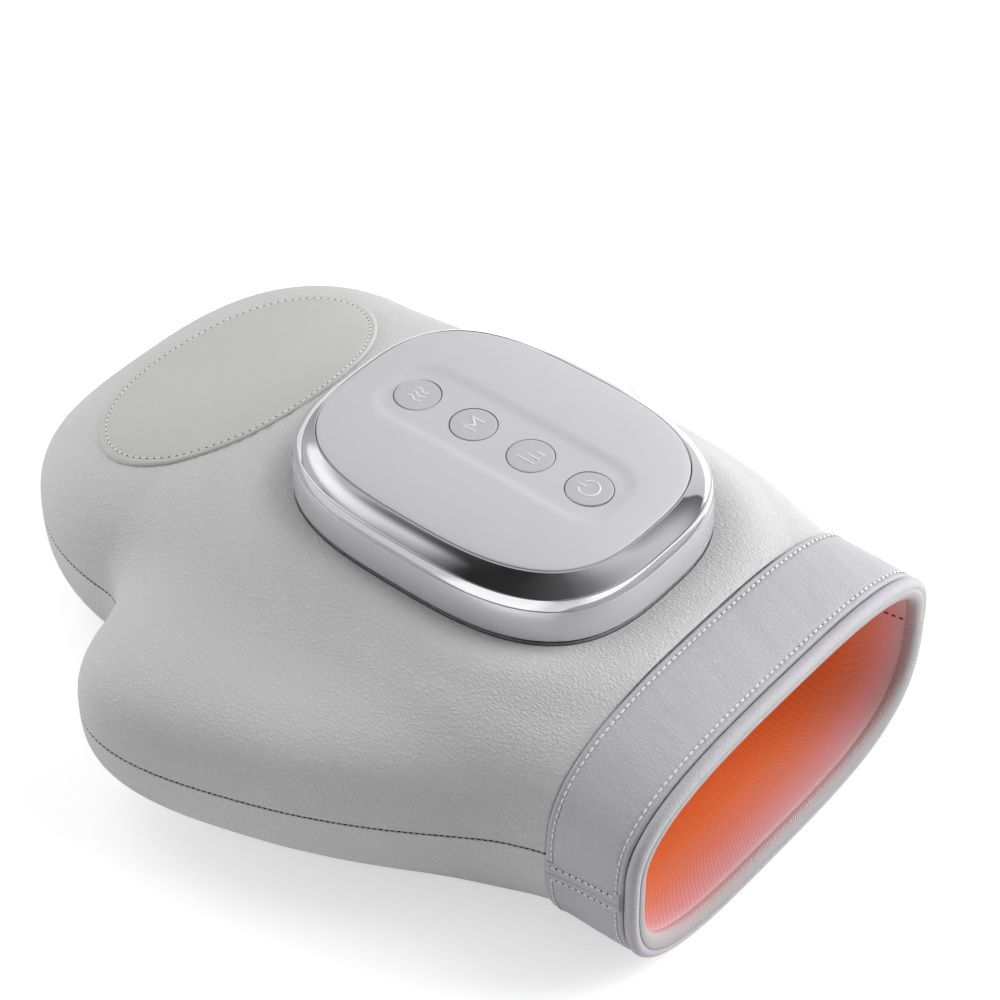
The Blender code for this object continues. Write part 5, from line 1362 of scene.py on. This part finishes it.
# %% Charging opening
SLOT_REACH = 6 * MM
SLOT_ROUND = 0.92               # how far the slot's ends are rounded, 1 being half a circle
socket_low, socket_high = (Vector(place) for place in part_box("charging_socket"))
slot_half = (socket_high - socket_low) / 2 + Vector((0.4, 0, 0.4)) * MM
slot_middle = (socket_low + socket_high) / 2
slot_middle.y = CONSOLE_HALF_WIDTH + SHIFT.y
bm = bmesh.new()
bmesh.ops.create_cube(bm, size=2.0, matrix=Matrix.Translation(slot_middle)
                      @ Matrix.Diagonal((slot_half.x, SLOT_REACH, slot_half.z, 1)))
through_edges = [edge for edge in bm.edges if abs((edge.verts[0].co - edge.verts[1].co).y) > SLOT_REACH]
bmesh.ops.bevel(bm, geom=through_edges, offset=slot_half.z * SLOT_ROUND, offset_type="OFFSET", segments=8,
                profile=0.5, affect="EDGES", material=-1)
cut(base, [bm])
print("charging slot:", [round(value * 2000, 1) for value in slot_half], "mm")

# %% [markdown]
# Each button is a flat cap with a softly broken edge. Its mark is a fine raised line in a lighter paint:
# three heat waves, an M for mode, three bars for pressure, and a ring with a stroke for power. The marks are
# drawn to be read from the wrist, so their up is towards the fingers.

# %% Button caps
CAP_EDGE = 0.35 * MM
CAP_RISE = 0.05 * MM


def make_cap(name, x, low, high):
    """Half a section of the cap, spun once round its axis."""
    top = high[2] + CAP_RISE
    rounds = [(BUTTON_RADIUS - CAP_EDGE + CAP_EDGE * math.cos(t), top - CAP_EDGE + CAP_EDGE * math.sin(t))
              for t in np.linspace(0, math.pi / 2, 7)]
    profile = [(0, low[2]), (BUTTON_RADIUS, low[2]), *rounds, (BUTTON_RADIUS * 0.6, top - 0.02 * MM),
               (0, high[2] + 0.02 * MM)]
    bm = bmesh.new()
    verts = [bm.verts.new(Vector((radius, 0, z))) for radius, z in profile]
    edges = [bm.edges.new(pair) for pair in zip(verts, verts[1:])]
    bmesh.ops.spin(bm, geom=verts + edges, axis=UP, cent=(0, 0, 0), angle=TURN, steps=ROUND_STEPS,
                   use_merge=True)
    bmesh.ops.translate(bm, vec=Vector((x, 0, 0)) + SHIFT, verts=bm.verts)
    make_piece(f"{name}_button_cap", bm, button_satin, [f"{name}_button"],
               body=f"{name}_button")


for name, x, box in zip(BUTTON_NAMES, BUTTON_X, BUTTON_PLACES):
    make_cap(name, x, *box)

# %% Button marks
MARK_RADIUS = 0.20 * MM


def wave(offset):
    return [(offset + 0.5 * math.sin(math.pi * t * 1.15), 2.5 * t) for t in np.linspace(-1, 1, 17)]


def ring_arc(radius, gap):
    steps = np.linspace(math.radians(90 + gap), math.radians(450 - gap), 40)
    return [(radius * math.cos(t), radius * math.sin(t)) for t in steps]


# Strokes in millimetres: first to the reader's right, then up
MARKS = {
    "heat": [wave(-2.0), wave(0.0), wave(2.0)],
    "mode": [[(-2.35, -2.45), (-2.35, 2.45)], [(-2.35, 2.45), (0, -0.7)], [(0, -0.7), (2.35, 2.45)],
             [(2.35, 2.45), (2.35, -2.45)]],
    "pressure": [[(-2.4, -3.1), (-2.4, 3.7)], [(0, -3.1), (0, 1.9)], [(2.4, -3.1), (2.4, 0)]],
    "power": [ring_arc(3.1, 32), [(0, 0.9), (0, 4.2)]],
}


def make_mark(name, x, top):
    """Raised lines on a cap, drawn as a bevelled curve and kept as a mesh."""
    curve = bpy.data.curves.new(f"{name}_mark", "CURVE")
    curve.dimensions = "3D"
    curve.bevel_depth = MARK_RADIUS
    curve.bevel_resolution = 2
    curve.use_fill_caps = True
    for stroke in MARKS[name]:
        spline = curve.splines.new("POLY")
        spline.points.add(len(stroke) - 1)
        for point, (right, up) in zip(spline.points, stroke):
            place = Vector((x - up * MM, right * MM, top + CAP_RISE + MARK_RADIUS * 0.1)) + SHIFT
            point.co = (*place, 1)
    holder = bpy.data.objects.new(f"{name}_stroke", curve)
    scene.collection.objects.link(holder)
    graph = bpy.context.evaluated_depsgraph_get()
    mesh = bpy.data.meshes.new_from_object(holder.evaluated_get(graph))
    bpy.data.objects.remove(holder)
    bm = bmesh.new()
    bm.from_mesh(mesh)
    make_piece(f"{name}_mark", bm, mark_paint, body=f"{name}_button")


for name, x, (_, high) in zip(BUTTON_NAMES, BUTTON_X, BUTTON_PLACES):
    make_mark(name, x, high[2])

# %% [markdown]
# The pieces inside keep the shapes of the frame and get finishes of their own: shrink wrap, solder mask,
# turned brass, brushed steel, moulded plastic and foam. They only show in a cutaway.

# %% Inner finishes
inner_finish = {
    "cushion_film": moulded("cushion film", srgb(225, 228, 232), 0.2, 0.35, 0.2, 0.0002),
    "heating_film": moulded("heating film", srgb(176, 120, 80), 0.1, 0.45, 0.1),
    "foam": leather("foam", srgb(220, 218, 206), 1800.0, 0.95, (0.8, 0.0004)),
    "black_plastic": moulded("black plastic", srgb(45, 45, 45), 0.1, 0.5, 0.2),
    "dark_rubber": moulded("dark rubber", srgb(50, 50, 50), 0.1, 0.8, 0.3),
    "board": finish("solder mask", srgb(40, 110, 70), speckle, {"Marks per metre": 900.0, "Spread": 0.3}, 0.4,
                    (0.3, 0.0001)),
    "steel": finish("brushed steel", srgb(190, 190, 195), speckle, {"Marks per metre": 700.0, "Spread": 0.25},
                    0.3, (0.2, 0.0001), metallic=1.0),
    "tray_plastic": moulded("tray plastic", srgb(222, 222, 220), 0.1, 0.5, 0.2),
    "cell_wrap": moulded("cell wrap", srgb(60, 120, 180), 0.1, 0.35, 0.1, coat=0.3),
    "brass": moulded("turned brass", srgb(214, 180, 110), 0.2, 0.28, 0.1, metallic=1.0),
    "coil_wrap": moulded("coil tape", srgb(160, 70, 50), 0.1, 0.55, 0.2),
    "silicone_tube": moulded("silicone tube", srgb(232, 232, 230), 0.1, 0.4, 0.1, coat=0.2),
}
for entry in frame["record"]["subparts"]:
    if entry["material_slot"] in inner_finish:
        for slot in nodes[entry["node"]].material_slots:
            slot.material = inner_finish[entry["material_slot"]]
print("inner finishes:", len(inner_finish))
